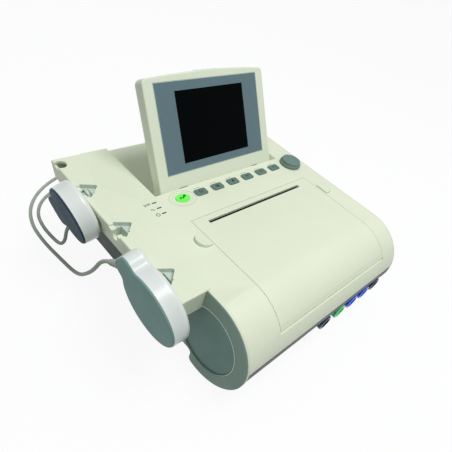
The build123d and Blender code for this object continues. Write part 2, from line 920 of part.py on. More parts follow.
def seam_lip_solid():
    """Lip along the top of the bottom cover, just inside the wall of the top cover."""
    x0, x1 = x_cover_left, x_cover_right
    outside = wall + touch_gap
    inside = wall + seam_lip_thickness
    core = case_solid(inside, inside, x0 - 1, x1 + 1)
    root = case_solid(wall / 2, lower_nose_inset + wall / 2, x0, x1) - core
    root &= box(x0, x1, y_front, y_rear, split_height - 2 * wall, split_height)
    lip = case_solid(outside, outside, x0, x1) - core
    lip &= box(x0, x1, y_front, y_rear, split_height - wall, split_height + seam_lip)
    for x, y in post_places():
        lip -= rod_z(x, y, split_height, split_height + 2 * seam_lip, post_radius + 1)
    return root + lip


def speaker_slots():
    x, y = speaker_place()
    slots = Part()
    for slot in range(speaker_slot_count):
        x_slot = x + (slot - (speaker_slot_count - 1) / 2) * speaker_slot_pitch
        slots += Pos(x_slot, y, underside_height) * Box(
            speaker_slot_width, speaker_slot_length, 3 * wall
        )
    return slots


def socket_bay():
    x0, x1 = socket_panel_span()
    return box(
        x0, x1, y_front - 1, y_front + socket_reach + 1, socket_panel_low, socket_panel_high
    )


def socket_panel_span():
    places = socket_places()
    return places[0] - socket_panel_left_margin, places[-1] + socket_panel_right_margin


def socket_places():
    return [x_body + first_socket_offset + step for step in socket_spacings]


def foot_places():
    x0 = x_left + foot_side_inset
    x1 = x_right - foot_side_inset
    y0 = y_nose
    y1 = y_rear - foot_rear_inset
    return [(x0, y0), (x1, y0), (x0, y1), (x1, y1)]


def feet():
    pads = Part()
    for x, y in foot_places():
        pad = rod_z(x, y, 0, foot_height, foot_radius)
        pads += fillet(pad.edges().sort_by(Axis.Z)[0], foot_edge)
    return pads


def case_screws():
    screws = Part()
    for x, y in post_places():
        seat = underside_height + screw_head_height
        screws += rod_z(x, y, seat - screw_head_height, seat, screw_head_radius)
        screws += rod_z(x, y, seat, seat + screw_length, screw_radius - pin_gap)
    return screws


def side_panel(x0, x1, dish_side):
    panel = case_solid(0, 0, x0, x1)
    edges = panel.faces().sort_by(Axis.X)[0 if dish_side < 0 else -1].edges()
    panel = chamfer(edges, panel_edge)
    x_dish = x0 if dish_side < 0 else x1
    dish = rod_x(
        x_dish - dish_depth, x_dish + dish_depth, y_nose, z_nose - dish_drop,
        nose_radius - dish_rim,
    )
    return panel - dish


def left_side_panel():
    panel = side_panel(x_left, x_cover_left, -1)
    z_low = deck_height - shelf_height - rest_gap
    y0 = y_shelf_front - rest_gap
    cut = box(x_left - 1, x_cover_left + 1, y0, y_rear + 1, z_low, deck_height + 1)
    return panel - cut


def right_side_panel():
    return side_panel(x_cover_right, x_right, 1)


# Display, modelled lying flat: origin on the hinge axis, +Y towards its top edge, face up

def display_outline(inset):
    top = display_top() - inset
    half = display_width / 2 - inset
    corner = top - display_crown
    sag = display_crown
    bottom = Rectangle(2 * half, corner, align=(Align.CENTER, Align.MIN))
    crown_radius = (half**2 + sag**2) / (2 * sag)
    crown = Pos(0, top - crown_radius) * Circle(crown_radius)
    strip = Pos(0, corner / 2) * Rectangle(
        2 * half, corner, align=(Align.CENTER, Align.MIN)
    )
    return bottom + (crown & strip)


def display_top():
    """Hinge axis to the middle of the display's top edge."""
    return display_height + hinge_depth * tan(theta / 2)


def display_block(inset, n0, n1):
    """Slice of the display between two depths behind the face."""
    sketch = Plane.XY.offset(hinge_depth - n1) * display_outline(inset)
    return extrude(sketch, n1 - n0)


def face_rise(rise):
    """Turns a height along the face above the deck into a distance from the axis."""
    return rise + hinge_depth * tan(theta / 2)


def bracket_places():
    half = hinge_bracket_spacing / 2
    return [-half, half]


def bracket_slots():
    slots = Part()
    width = hinge_bracket_width + 2 * rest_gap
    for x in bracket_places():
        slots += rod_x(
            x - width / 2, x + width / 2, 0, 0, hinge_depth + 2 * rest_gap
        )
    return slots


def display_bezel():
    half = display_width / 2
    body = display_block(0, 0, bezel_depth)
    corners = body.edges().filter_by(Axis.Z).sort_by(Axis.Y)[-2:]
    body = fillet(corners, display_corner)
    rim = body.faces().sort_by(Axis.Z)[-1].edges()
    body = fillet([e for e in rim if e.center().Y > hinge_depth], display_edge)
    body += rod_x(-half, half, 0, 0, hinge_depth)
    inner = display_block(display_wall, display_wall, bezel_depth + 1)
    body -= inner & box(-half, half, housing_foot, far, -far, far)
    bore_end = half - hinge_end_wall
    body -= rod_x(-bore_end, bore_end, 0, 0, hinge_pin_radius + pin_gap)
    window = window_box(0, window_thickness, touch_gap / 4)
    light = window_box(-window_ledge, display_wall + 1, 0)
    body -= window + light + bracket_slots()
    body -= lens_box(touch_gap / 4)
    return body


def window_box(grow, depth, gap):
    y0 = face_rise(window_rise) - grow - gap
    y1 = face_rise(window_rise + window_height) + grow + gap
    half = window_width / 2 + grow + gap
    return box(-half, half, y0, y1, hinge_depth - depth, hinge_depth + 1)


def display_window():
    plate = window_box(0, window_thickness, 0) - above(hinge_depth - window_sink)
    upright = plate.edges().filter_by(Axis.Z)
    return fillet(upright, window_corner) - screen_box(touch_gap, bezel_depth)


def screen_box(gap, depth):
    half = screen_width / 2 + gap
    y0 = face_rise(screen_rise) - gap
    y1 = face_rise(screen_rise + screen_height) + gap
    return box(-half, half, y0, y1, hinge_depth - depth, hinge_depth + 1)


def lcd_module():
    """Flat panel with its viewing area raised into the window's opening."""
    back = hinge_depth - bezel_depth
    front = hinge_depth - window_thickness
    frame = screen_box(screen_frame, bezel_depth) & box(-far, far, 0, far, back, front)
    view = screen_box(0, bezel_depth) - above(hinge_depth - screen_sink)
    return frame + view


def lens_box(gap):
    top = display_top() + lens_proud
    half = lens_width / 2 + gap
    front = hinge_depth - lens_sink
    return box(
        -half, half, top - lens_height - gap, top + lens_height, front - lens_depth - gap,
        front + gap,
    )


def alarm_lens():
    lens = lens_box(0) & box(-far, far, 0, display_top() + lens_proud, -far, far)
    return fillet(lens.edges().filter_by(Axis.X).sort_by(Axis.Y)[-2:], lens_round)


def display_back():
    body = display_block(0, bezel_depth, display_thickness)
    corners = body.edges().filter_by(Axis.Z).sort_by(Axis.Y)[-2:]
    body = fillet(corners, display_corner)
    rear = body.faces().sort_by(Axis.Z)[0].edges()
    body = fillet([e for e in rear if e.center().Y > hinge_depth], display_back_round)
    inner = display_block(
        2 * display_wall, bezel_depth - 1, display_thickness - display_wall
    )
    half = display_width / 2
    body -= inner & box(-half, half, housing_foot + housing_foot_gap, far, -far, far)
    body -= rod_x(-half - 1, half + 1, 0, 0, hinge_depth)
    body -= bracket_slots() + lens_box(touch_gap / 4)
    z_back = hinge_depth - display_thickness
    for row in range(vent_count):
        y = face_rise(vent_rise) + row * vent_pitch
        body -= Pos(0, y, z_back) * Box(vent_length, vent_width, 3 * display_wall)
    return body


def hinge_brackets():
    """Two eyes on the floor of the pan; the pin through each carries the display."""
    brackets = Part()
    half = hinge_bracket_width / 2
    floor = hinge_depth - recess_depth
    for x in bracket_places():
        eye = rod_x(x - half, x + half, 0, 0, hinge_eye_radius)
        leg = box(x - half, x + half, -hinge_eye_radius, -hinge_leg_shift, floor, 0)
        reach = half + hinge_pin_reach
        pin = rod_x(x - reach, x + reach, 0, 0, hinge_pin_radius)
        brackets += eye + leg + pin
    return brackets


def flat_to_case(tilt):
    return Pos(x_body, y_hinge, z_hinge) * Rot(tilt, 0, 0)


# Keys, lamps, knob

def cap(sketch, rise):
    """Key cap with a flange below the deck and a short stem."""
    under = deck_height - wall - rest_gap
    top = deck_height + rise
    body = Pos(0, 0, under) * extrude(sketch(0), top - under)
    body = fillet(body.faces().sort_by(Axis.Z)[-1].edges(), key_edge)
    flange = Pos(0, 0, under - key_flange_thickness) * extrude(
        sketch(key_flange), key_flange_thickness
    )
    stem_top = under - key_flange_thickness
    stem = rod_z(0, 0, stem_top - key_stem_length, stem_top, key_stem_radius)
    return body + flange + stem


def key(x):
    return Pos(x, y_keys, 0) * cap(key_sketch, key_rise)


def start_key():
    return Pos(x_body + start_key_offset, y_keys, 0) * cap(start_key_sketch, start_key_rise)


def key_stem_bottom():
    return deck_height - wall - rest_gap - key_flange_thickness - key_stem_length


def key_board():
    """Circuit board under the keys with one short switch for each key."""
    x0 = x_body + lamp_offset - key_board_margin
    x1 = x_body + knob_offset + encoder_size / 2 + key_board_right_margin
    board_top = deck_height - key_board_depth
    y0 = y_keys - key_board_width / 2 - key_board_shift
    board = box(
        x0, x1, y0, y0 + key_board_width, board_top - key_board_thickness, board_top
    )
    switch_top = key_stem_bottom() - key_travel - rest_gap
    half = switch_size / 2
    for x in key_places() + [x_body + start_key_offset]:
        board += box(
            x - half, x + half, y_keys - half, y_keys + half, board_top, switch_top
        )
    return board


def lamp_lenses():
    """Three lamp windows in the deck with light pipes down to the board."""
    lenses = Part()
    x = x_body + lamp_offset
    for y in lamp_places():
        lenses += Pos(x, y, deck_height - wall / 2 + lamp_gap) * Box(
            lamp_length - 2 * lamp_gap, lamp_width - 2 * lamp_gap, wall
        )
        board_top = deck_height - key_board_depth
        lenses += rod_z(x, y, board_top, deck_height - wall / 2, light_pipe_radius)
    return lenses


def knob_place():
    return x_body + knob_offset, y_face - knob_setback


def knob_shaft():
    x, y = knob_place()
    z0 = deck_height - knob_shaft_depth
    return rod_z(x, y, z0, z0 + knob_shaft_length, knob_shaft_radius)


def knob():
    x, y = knob_place()
    z0 = deck_height + knob_travel + rest_gap
    skirt = rod_z(x, y, z0, z0 + knob_skirt_share * knob_height, knob_radius)
    skirt = fillet(skirt.edges().sort_by(Axis.Z)[-1], knob_skirt_edge)
    top = deck_height + knob_height
    crown = rod_z(x, y, z0, top, knob_radius - knob_skirt_step)
    crown = fillet(crown.edges().sort_by(Axis.Z)[-1], knob_crown_edge)
    body = skirt + crown
    ball = (knob_radius**2 + knob_dish**2) / (2 * knob_dish)
    body -= Pos(x, y, top + ball - knob_dish) * Sphere(ball)
    bore_top = deck_height - knob_shaft_depth + knob_shaft_length + pin_gap
    return body - rod_z(x, y, 0, bore_top, knob_shaft_radius + pin_gap)


def encoder_body():
    """Rotary encoder on the key board, its bushing up through the deck."""
    x, y = knob_place()
    base = deck_height - key_board_depth
    half = encoder_size / 2
    body = box(x - half, x + half, y - half, y + half, base, base + encoder_height)
    body += rod_z(
        x, y, base, deck_height + rest_gap, encoder_bushing_radius - touch_gap
    )
    z_hole = deck_height - knob_shaft_depth - knob_travel - rest_gap
    return body - rod_z(x, y, z_hole, deck_height + 1, knob_shaft_radius + pin_gap)


# Paper drawer and printer

def drawer_cover():
    x0, x1 = x_drawer_left, x_drawer_right
    outer = case_solid(0, 0, x0, x1)
    inner = case_solid(wall, wall, x0 - 1, x1 + 1)
    skin = (outer - inner) & drawer_region(0)
    y_axis, z_axis = drawer_axis()
    barrel = rod_x(x0, x1, y_axis, z_axis, drawer_barrel_radius)
    cover = skin & above(z_axis)
    cover += barrel
    x_slot = x_body + slot_offset
    y_slot = y_drawer - slot_inset
    cover -= box(
        x_slot - slot_length / 2, x_slot + slot_length / 2, y_slot - slot_width / 2,
        y_slot + slot_width / 2, deck_height - 2 * wall, deck_height + 1,
    )
    y_roller, z_roller = roller_axis()
    half = roller_length / 2 + rest_gap
    for x in (x_slot - half - roller_flange, x_slot + half):
        arm = box(
            x, x + roller_flange, y_roller - arm_front, y_roller + arm_rear,
            z_roller - arm_low, deck_height - wall,
        )
        cover += arm
    cover -= rod_x(x0, x1, y_roller, z_roller, roller_shaft_radius + pin_gap)
    y_catch = y_drawer - latch_setback
    for x in (x0, x1 - latch_hook_depth):
        cover += box(
            x, x + latch_hook_depth, y_catch - catch_width / 2, y_catch + catch_width / 2,
            deck_height - catch_drop, deck_height - wall,
        )
    reach = drawer_pin_length - 1
    return cover + rod_x(x0 - reach, x1 + reach, y_axis, z_axis, drawer_pin_radius)


def latch(side_name):
    """Push latch: a raised D button whose foot hooks under the drawer's catch."""
    x, y, side = latch_places()[side_name]
    under = deck_height - wall - rest_gap
    top = deck_height + latch_rise
    button = Pos(x, y, under) * extrude(latch_sketch(0, side), top - under)
    tilt = Pos(x, y, deck_height + latch_rise / 3) * Rot(0, -side * latch_slope, 0)
    button -= tilt * Box(far, far, far, align=(Align.CENTER, Align.CENTER, Align.MIN))
    stem_top = under - latch_flange
    flange = Pos(x, y, stem_top) * extrude(latch_sketch(latch_flange, side), latch_flange)
    x_mid = x + side * latch_width / 2
    z_hook = stem_top - latch_stem
    y0, y1 = y - latch_stem_depth / 2, y + latch_stem_depth / 2
    half = latch_stem_width / 2
    stem = box(x_mid - half, x_mid + half, y0, y1, z_hook, stem_top)
    x_hook = x - side * (latch_gap + latch_hook_reach)
    x_low, x_high = min(x_mid, x_hook), max(x_mid, x_hook)
    hook = box(x_low, x_high, y0, y1, z_hook, z_hook + latch_hook_thickness)
    return button + flange + stem + hook


def roller_axis():
    """Platen roller on the drawer cover, just in front of the paper slot."""
    y = y_drawer - slot_inset - slot_width / 2 - roller_radius
    return y, deck_height - roller_drop


def gear_sketch(teeth, phase):
    """Straight-sided spur gear drawn about the origin; phase in degrees."""
    pitch_radius = gear_module * teeth / 2
    root = pitch_radius - gear_dedendum * gear_module
    tip = pitch_radius + gear_addendum * gear_module
    foot = tooth_foot * root
    step = 360 / teeth
    half_root = radians(step * gear_fill * root_share)
    half_tip = radians(step * gear_fill * tip_share)
    body = Circle(root)
    for tooth in range(teeth):
        tooth_shape = Polygon(
            (foot * cos(half_root), -foot * sin(half_root)),
            (root * cos(half_root), -root * sin(half_root)),
            (tip * cos(half_tip), -tip * sin(half_tip)),
            (tip * cos(half_tip), tip * sin(half_tip)),
            (root * cos(half_root), root * sin(half_root)),
            (foot * cos(half_root), foot * sin(half_root)),
            align=None,
        )
        body += Rot(0, 0, phase + step * tooth) * tooth_shape
    return body


def gear_span():
    """Where along X the two gears lie, outside the roller's right flange."""
    x0 = x_body + slot_offset + roller_length / 2 + roller_flange + 2 * rest_gap
    return x0 + touch_gap, x0 + touch_gap + gear_width


def platen_roller():
    y, z = roller_axis()
    x_mid = x_body + slot_offset
    x0, x1 = x_mid - roller_length / 2, x_mid + roller_length / 2
    g0, g1 = gear_span()
    body = rod_x(x0, x1, y, z, roller_radius)
    body += rod_x(x0 - roller_flange - roller_stub, g1, y, z, roller_shaft_radius)
    teeth = Plane.YZ.offset(g0) * Pos(y, z) * gear_sketch(roller_teeth, -90)
    return body + extrude(teeth, g1 - g0)


def drive_axis():
    y, z = roller_axis()
    return y, z - gear_module * (roller_teeth + drive_teeth) / 2


def drive_gear():
    """Pinion on the printer motor's shaft, below the platen roller's gear."""
    y, z = drive_axis()
    g0, g1 = gear_span()
    phase = 90 + 180 / drive_teeth
    teeth = Plane.YZ.offset(g0) * Pos(y, z) * gear_sketch(drive_teeth, phase)
    shaft = rod_x(g1, g1 + pinion_shaft_length, y, z, pinion_shaft_radius)
    return extrude(teeth, g1 - g0) + shaft


def printer_motor():
    """Stepper motor beside the pinion, on a tab under the deck behind the drawer."""
    y, z = drive_axis()
    x0 = gear_span()[1] + motor_gap
    x1 = x0 + motor_tab
    half = motor_size / 2
    body = box(x0, x0 + motor_length, y - half, y + half, z - half, z + half)
    y_tab = y_drawer + seam_gap + motor_tab_gap
    z0, z1 = z - motor_tab / 2, z + motor_tab / 2
    body += box(x0, x1, y + half - 1, y_tab + motor_tab, z0, z1)
    body += box(x0, x1, y_tab, y_tab + motor_tab, z0, deck_height - wall)
    return body - rod_x(x0 - 1, x0 + motor_bore_depth, y, z, pinion_shaft_radius + pin_gap)


def print_head():
    """Thermal head facing the platen roller, hung from the deck by two tabs."""
    y_roller, z_roller = roller_axis()
    y0 = y_roller + roller_radius + rest_gap
    x_mid = x_body + slot_offset
    half = roller_length / 2 - 1
    top = deck_height - wall - head_drop
    bar = box(x_mid - half, x_mid + half, y0, y0 + head_thickness, top - head_height, top)
    bar -= box(
        x_mid - half - 1, x_mid + half + 1, y0 - 1, y0 + head_step, top - head_step_height,
        top + 1,
    )
    y1 = y_drawer + seam_gap + head_tab_gap + head_tab_length
    z0, z1 = top - 2 * head_tab, top - head_tab
    inset = half - head_tab_inset
    for x in (x_mid - inset, x_mid + inset - head_tab_width):
        bar += box(x, x + head_tab_width, y0 + head_thickness - 1, y1, z0, z1)
        bar += box(x, x + head_tab_width, y1 - head_tab, y1, z0, deck_height - wall)
    return bar


def bin_floor():
    return deck_height - bin_drop


def bin_span():
    x_mid = x_body + slot_offset
    half = paper_width / 2 + bin_clearance + bin_wall
    y1 = y_drawer - bin_setback
    y0 = y1 - paper_length - 2 * bin_clearance - 2 * bin_wall
    return x_mid - half, x_mid + half, y0, y1


def paper_bin():
    x0, x1, y0, y1 = bin_span()
    z0, z1 = bin_floor(), deck_height - bin_rear_drop
    tray = box(x0, x1, y0, y1, z0, z1)
    tray -= box(
        x0 + bin_wall, x1 - bin_wall, y0 + bin_wall, y1 - bin_wall, z0 + bin_wall, z1 + 1
    )
    return tray & case_solid(1.5 * wall, 1.5 * wall, x0 - 1, x1 + 1)


def paper_pack():
    """Fan-folded pack: a stack with shallow grooves where the folds lie."""
    x0, x1, y0, y1 = bin_span()
    x_mid = (x0 + x1) / 2
    half = paper_width / 2
    z0 = bin_floor() + bin_wall
    ya = y0 + bin_wall + bin_clearance
    yb = ya + paper_length
    pack = box(x_mid - half, x_mid + half, ya, yb, z0, z0 + paper_stack)
    for fold in range(1, fold_count):
        z = z0 + paper_stack * fold / fold_count
        for y in (ya, yb):
            pack -= Pos(x_mid, y, z) * Box(3 * half, 2 * fold_depth, fold_height)
    return pack


def bin_legs():
    """Posts of the bottom cover that carry the paper bin."""
    x0, x1, y0, y1 = bin_span()
    legs = Part()
    for x in (x0 + bin_leg_inset, x1 - bin_leg_inset):
        for y in (y0 + bin_leg_front, y1 - bin_leg_rear):
            legs += rod_z(x, y, 0, bin_floor(), standoff_radius)
    trough = case_solid(wall / 2, lower_nose_inset + wall / 2, x_cover_left, x_cover_right)
    return legs & trough


# Sockets

def socket_panel():
    x0, x1 = socket_panel_span()
    y0 = y_front + socket_panel_inset
    plate = box(
        x0 + touch_gap, x1 - touch_gap, y0, y0 + socket_panel_thickness,
        socket_panel_low + touch_gap, socket_panel_high - touch_gap,
    )
    hole_radius = socket_radius - socket_step + pin_gap
    for x in socket_places():
        plate -= rod_y(x, y0 - 1, y0 + socket_panel_thickness + 1, socket_height, hole_radius)
    return plate


def socket(x):
    """Round cable socket: ribbed collar, bore and a block of contacts at its bottom."""
    y0 = y_front + socket_front_gap
    y_panel = y_front + socket_panel_inset
    collar = rod_y(x, y0, y_panel, socket_height, socket_radius)
    collar = chamfer(collar.edges().sort_by(Axis.Y)[0], socket_edge)
    barrel = rod_y(x, y_panel, y0 + socket_reach, socket_height, socket_radius - socket_step)
    body = collar + barrel
    for rib in range(socket_rib_count):
        angle = 2 * pi * rib / socket_rib_count
        px = x + socket_radius * cos(angle)
        pz = socket_height + socket_radius * sin(angle)
        body -= rod_y(px, y0 + socket_rib_inset, y_panel - socket_rib_inset, pz, socket_rib_depth)
    body -= rod_y(x, y0 - 1, y0 + socket_bore_depth, socket_height, socket_bore_radius)
    y_floor = y0 + socket_bore_depth
    for contact in range(contact_count):
        angle = 2 * pi * contact / contact_count
        px = x + contact_ring_radius * cos(angle)
        pz = socket_height + contact_ring_radius * sin(angle)
        body -= rod_y(px, y_floor - 1, y_floor + contact_depth, pz, contact_radius)
    return body


def sockets_at(numbers):
    group = Part()
    places = socket_places()
    for number in numbers:
        group += socket(places[number])
    return group


# Rear wall

def rear_panel():
    half = rear_panel_width / 2 - touch_gap
    y1 = y_rear - rear_panel_sink
    y0 = y1 - rear_panel_thickness
    plate = box(
        x_body - half, x_body + half, y0, y1, rear_panel_low + touch_gap,
        rear_panel_high - touch_gap,
    )
    x, z = inlet_place()
    plate -= box(
        x - inlet_width / 2 - touch_gap, x + inlet_width / 2 + touch_gap, y0 - 1, y1 + 1,
        z - inlet_height / 2 - touch_gap, z + inlet_height / 2 + touch_gap,
    )
    x, z = rocker_place()
    plate -= box(
        x - rocker_width / 2 - touch_gap, x + rocker_width / 2 + touch_gap, y0 - 1, y1 + 1,
        z - rocker_height / 2 - touch_gap, z + rocker_height / 2 + touch_gap,
    )
    return plate


def inlet_place():
    return x_body + inlet_offset, (rear_panel_low + rear_panel_high) / 2


def rocker_place():
    x, z = inlet_place()
    return x - (inlet_width + rocker_width) / 2 - inlet_flange, z


def mains_inlet():
    """Housing of the mains inlet with its three blades."""
    x, z = inlet_place()
    y1 = y_rear - rear_panel_sink
    half_w, half_h = inlet_width / 2, inlet_height / 2
    body = box(x - half_w, x + half_w, y1 - inlet_depth, y1, z - half_h, z + half_h)
    body += clamp_rim(x, z, half_w + inlet_flange, half_h + inlet_flange)
    room_w, room_h = half_w - inlet_wall, half_h - inlet_wall
    body -= box(x - room_w, x + room_w, y1 - inlet_well, y1 + 1, z - room_h, z + room_h)
    blade_low, blade_high = y1 - inlet_well - 1, y1 - blade_sink
    for step in (-1, 0, 1):
        px = x + blade_pitch * step
        pz = z + (-blade_shift if step else blade_shift)
        blade = Box(blade_width, blade_high - blade_low, blade_height)
        body += Pos(px, (blade_low + blade_high) / 2, pz) * blade
    return body


def clamp_rim(x, z, half_w, half_h):
    """Rim that lies against the inside of the rear panel."""
    y1 = y_rear - rear_panel_sink - rear_panel_thickness
    return box(x - half_w, x + half_w, y1 - clamp_thickness, y1, z - half_h, z + half_h)


def rocker_housing():
    """Housing of the power switch, open at the back for the rocker."""
    x, z = rocker_place()
    y1 = y_rear - rear_panel_sink
    half_w, half_h = rocker_width / 2, rocker_height / 2
    body = box(
        x - half_w, x + half_w, y1 - rocker_housing_depth, y1, z - half_h, z + half_h
    )
    body += clamp_rim(x, z, half_w + rocker_rim, half_h + rocker_rim)
    room_w, room_h = half_w - rocker_wall, half_h - rocker_wall
    return body - box(
        x - room_w, x + room_w, y1 - rocker_well, y1 + 1, z - room_h, z + room_h
    )


def rocker_axis():
    x, z = rocker_place()
    return x, y_rear - rear_panel_sink - rocker_barrel, z


def power_rocker():
    """Rocker key of the power switch, shown with its lower half pressed."""
    x, y, z = rocker_axis()
    half = rocker_width / 2 - rocker_wall - rest_gap
    reach = rocker_height / 2 - rocker_wall - rest_gap - rocker_end_gap
    lift = reach * tan(radians(rocker_throw))
    end = rocker_proud - rocker_hollow
    outline = Polygon(
        (-rocker_root, -reach),
        (end - lift, -reach),
        (rocker_proud, 0),
        (end + lift, reach),
        (-rocker_root, reach),
        align=None,
    )
    body = extrude(Plane.YZ.offset(-half) * outline, 2 * half)
    body = body & rod_x(-half - 1, half + 1, 0, 0, reach)
    return Pos(x, y, z) * body


# Inside

def main_board_place():
    return x_body - main_board_shift, y_rear - main_board_setback


def standoff_places():
    x, y = main_board_place()
    dx = main_board_width / 2 - standoff_inset
    dy = main_board_length / 2 - standoff_inset
    return [(x - dx, y - dy), (x + dx, y - dy), (x - dx, y + dy), (x + dx, y + dy)]


def main_board():
    x, y = main_board_place()
    z0 = underside_height + wall + standoff_height
    z1 = z0 + board_thickness
    dx, dy = main_board_width / 2, main_board_length / 2
    board = box(x - dx, x + dx, y - dy, y + dy, z0, z1)
    for number in range(chip_count):
        px = x + (number - 1) * chip_pitch
        board += Pos(px, y, z1 + chip_height / 2) * Box(chip_size, chip_size, chip_height)
        header = Box(header_length, header_depth, header_height)
        py = y - dy + header_inset + header_depth / 2
        board += Pos(px, py, z1 + header_height / 2) * header
    return board


def power_supply():
    """Open supply: board on a spacer, transformer, capacitor and heat sink."""
    x1 = x_cover_right - supply_side_gap
    y1 = y_rear - supply_setback
    z0 = underside_height + wall
    top = z0 + supply_height
    base_top = z0 + board_thickness + supply_spacer
    base = box(x1 - supply_width, x1, y1 - supply_length, y1, z0, base_top)
    x = x1 - coil_block_inset
    y = y1 - coil_block_setback
    base += box(x - coil_block_size, x, y - coil_block_size, y, z0, top)
    x = x1 - capacitor_inset
    base += rod_z(x, y1 - capacitor_setback, z0, top - capacitor_drop, capacitor_radius)
    x = x1 - heat_sink_inset
    y = y1 - heat_sink_setback
    return base + box(
        x - heat_sink_thickness, x, y - heat_sink_length, y, z0, top - heat_sink_drop
    )


def battery_pack():
    x0 = x_cover_left + battery_side_gap
    y0 = y_nose + post_inset + post_radius + battery_gap
    z0 = underside_height + wall
    pack = box(x0, x0 + battery_width, y0, y0 + battery_length, z0, z0 + battery_height)
    return fillet(pack.edges().filter_by(Axis.Y), battery_corner)


def speaker_place():
    return x_cover_right - speaker_side_gap, y_nose + speaker_setback


def speaker():
    """Round loudspeaker facing down over the slots in the bottom cover."""
    x, y = speaker_place()
    z0 = underside_height + wall
    z1 = z0 + speaker_rim
    body = rod_z(x, y, z0, z1, speaker_radius)
    cone = Cone(
        speaker_radius - speaker_cone_inset, speaker_cone_radius, speaker_cone_height,
        align=(Align.CENTER, Align.CENTER, Align.MIN),
    )
    magnet = rod_z(x, y, z0 + magnet_rise, z0 + speaker_depth, magnet_radius)
    return body + Pos(x, y, z1) * cone + magnet


# Cables

def relief_frame(index):
    """Where a strain relief leaves its transducer's lobe, and the way it points."""
    angle = radians(180 - lobe_directions[index] + relief_swing)
    half = (transducer_thicknesses[index] - face_thickness) / 2
    local = Pos(half, relief_radius * cos(angle), relief_radius * sin(angle))
    start = (transducer_place(index) * local).position
    drop, out = radians(relief_drops[index]), radians(relief_outward[index])
    way = Vector(-sin(out) * cos(drop), cos(out) * cos(drop), -sin(drop))
    return start, way


def transducer_place(index):
    return Pos(x_shelf, 0, 0) * hang(index)


def strain_relief(index):
    start, way = relief_frame(index)
    cone = Cone(
        relief_root_radius, relief_tip_radius, relief_lengths[index],
        align=(Align.CENTER, Align.CENTER, Align.MIN),
    )
    sleeve = Plane(origin=start, z_dir=way) * cone
    return sleeve - transducer_place(index) * transducer_shell(index)


def cable_route(index):
    """Corner points of the free cable; its last run is square to the start of its coil."""
    start, way = relief_frame(index)
    tip = start + way * (relief_lengths[index] + rest_gap)
    end = Vector(*coil_route(index)[0][0])
    last = end - Vector(cable_last_runs[index], 0, 0)
    corners = [Vector(*corner) for corner in cable_corners[index]]
    return [tip, tip + way * cable_lead, *corners, last, end]


def bend_radii(route):
    """Radius of each corner: 0.45 of the shorter run, over the tangent of half the turn."""
    radii = []
    for before, corner, after in zip(route, route[1:], route[2:]):
        run_in, run_out = corner - before, after - corner
        half_turn = radians(run_in.get_angle(run_out)) / 2
        radii.append(0.45 * min(run_in.length, run_out.length) / tan(half_turn))
    return radii


@cache
def cable_path(index):
    route = cable_route(index)
    return FilletPolyline(*route, radius=bend_radii(route))


def cable(index):
    path = cable_path(index)
    section = Plane(origin=path @ 0, z_dir=path % 0) * Circle(cable_diameter / 2)
    tube = sweep(section, path)
    expected = pi * cable_diameter**2 / 4 * path.length
    print("cable", index, "length", round(path.length, 1), "volume over section times length",
          round(tube.volume / expected, 5))
    print("  bend radii", [round(radius) for radius in bend_radii(cable_route(index))])
    return tube


def coil_half_turns(inner):
    """Radius and climb of each half turn: in, out, in and out again, then down to the plug."""
    rise = cable_diameter + coil_gap
    step = rise / 2
    outward = [(inner + step * i, 0) for i in range(coil_steps)]
    inward = outward[::-1]
    inside, outside = inner - step, inner + step * coil_steps
    down = plug_grip_radius - cable_diameter / 2 - 3 * rise
    wide, wider = coil_last_turns
    return [
        *inward, (inside, rise), *outward, (outside, rise), *inward, (inside, rise),
        *outward, (outside + wide, 0), (outside + step + wider, down),
    ]


def coil_inner_radius(index):
    """Innermost turn that leaves the whole cable the length it should have."""
    wound = cable_length - cable_free_length(index) - 2 * cable_diameter
    turns = coil_half_turns(0)
    return (wound / pi - sum(radius for radius, climb in turns)) / len(turns)


def cable_free_length(index):
    """Length of the free cable, from its runs less what the bends save."""
    start, way = relief_frame(index)
    tip = start + way * (relief_lengths[index] + rest_gap)
    corners = [Vector(*corner) for corner in cable_corners[index]]
    route = [tip, tip + way * cable_lead, *corners]
    x_coil, y_coil = coil_centres[index]
    runs = sum((b - a).length for a, b in zip(route, route[1:]))
    return runs + x_coil - cable_diameter - route[-1].X


def coil_route(index):
    """Start, middle and end of each piece of the coil, with its lead in and lead out."""
    x, y = coil_centres[index]
    z = cable_diameter / 2
    turns = coil_half_turns(coil_inner_radius(index))
    y += turns[0][0]
    pieces = [((x - cable_diameter, y, z), None, (x, y, z))]
    side = 1
    for radius, climb in turns:
        y_end = y - side * 2 * radius
        bulge = side * hypot(radius, climb / 2)
        middle = (x + bulge, (y + y_end) / 2, z + climb / 2)
        pieces.append(((x, y, z), middle, (x, y_end, z + climb)))
        side, y, z = -side, y_end, z + climb
    pieces.append(((x, y, z), None, (x - cable_diameter, y, z)))
    return pieces


@cache
def coil_path(index):
    edges = []
    for start, middle, end in coil_route(index):
        if middle is None:
            edges.append(Edge.make_line(start, end))
        elif start[2] == end[2]:
            edges.append(Edge.make_three_point_arc(start, middle, end))
        else:
            way = (middle[0] - start[0], 0, 0)
            edges.append(Edge.make_tangent_arc(start, way, middle))
            edges.append(Edge.make_tangent_arc(end, way, middle))
    return Wire(edges)


def coil(index):
    path = coil_path(index)
    start = coil_route(index)[0][0]
    section = Plane(origin=start, z_dir=(1, 0, 0)) * Circle(cable_diameter / 2)
    tube = sweep(section, path)
    whole = path.length + cable_path(index).length
    print("coil", index, "cable in all", round(whole), "self gap", round(self_gap(path), 2))
    return tube


def self_gap(path):
    """Least space between turns, measured on points along the middle of the cable."""
    count = int(path.length / 1.5)
    points = [tuple(path @ (i / count)) for i in range(count + 1)]
    skip = int(3 * cable_diameter / 1.5)
    least = min(
        (ax - bx) ** 2 + (ay - by) ** 2 + (az - bz) ** 2
        for i, (ax, ay, az) in enumerate(points)
        for bx, by, bz in points[i + skip:]
    )
    return sqrt(least) - cable_diameter


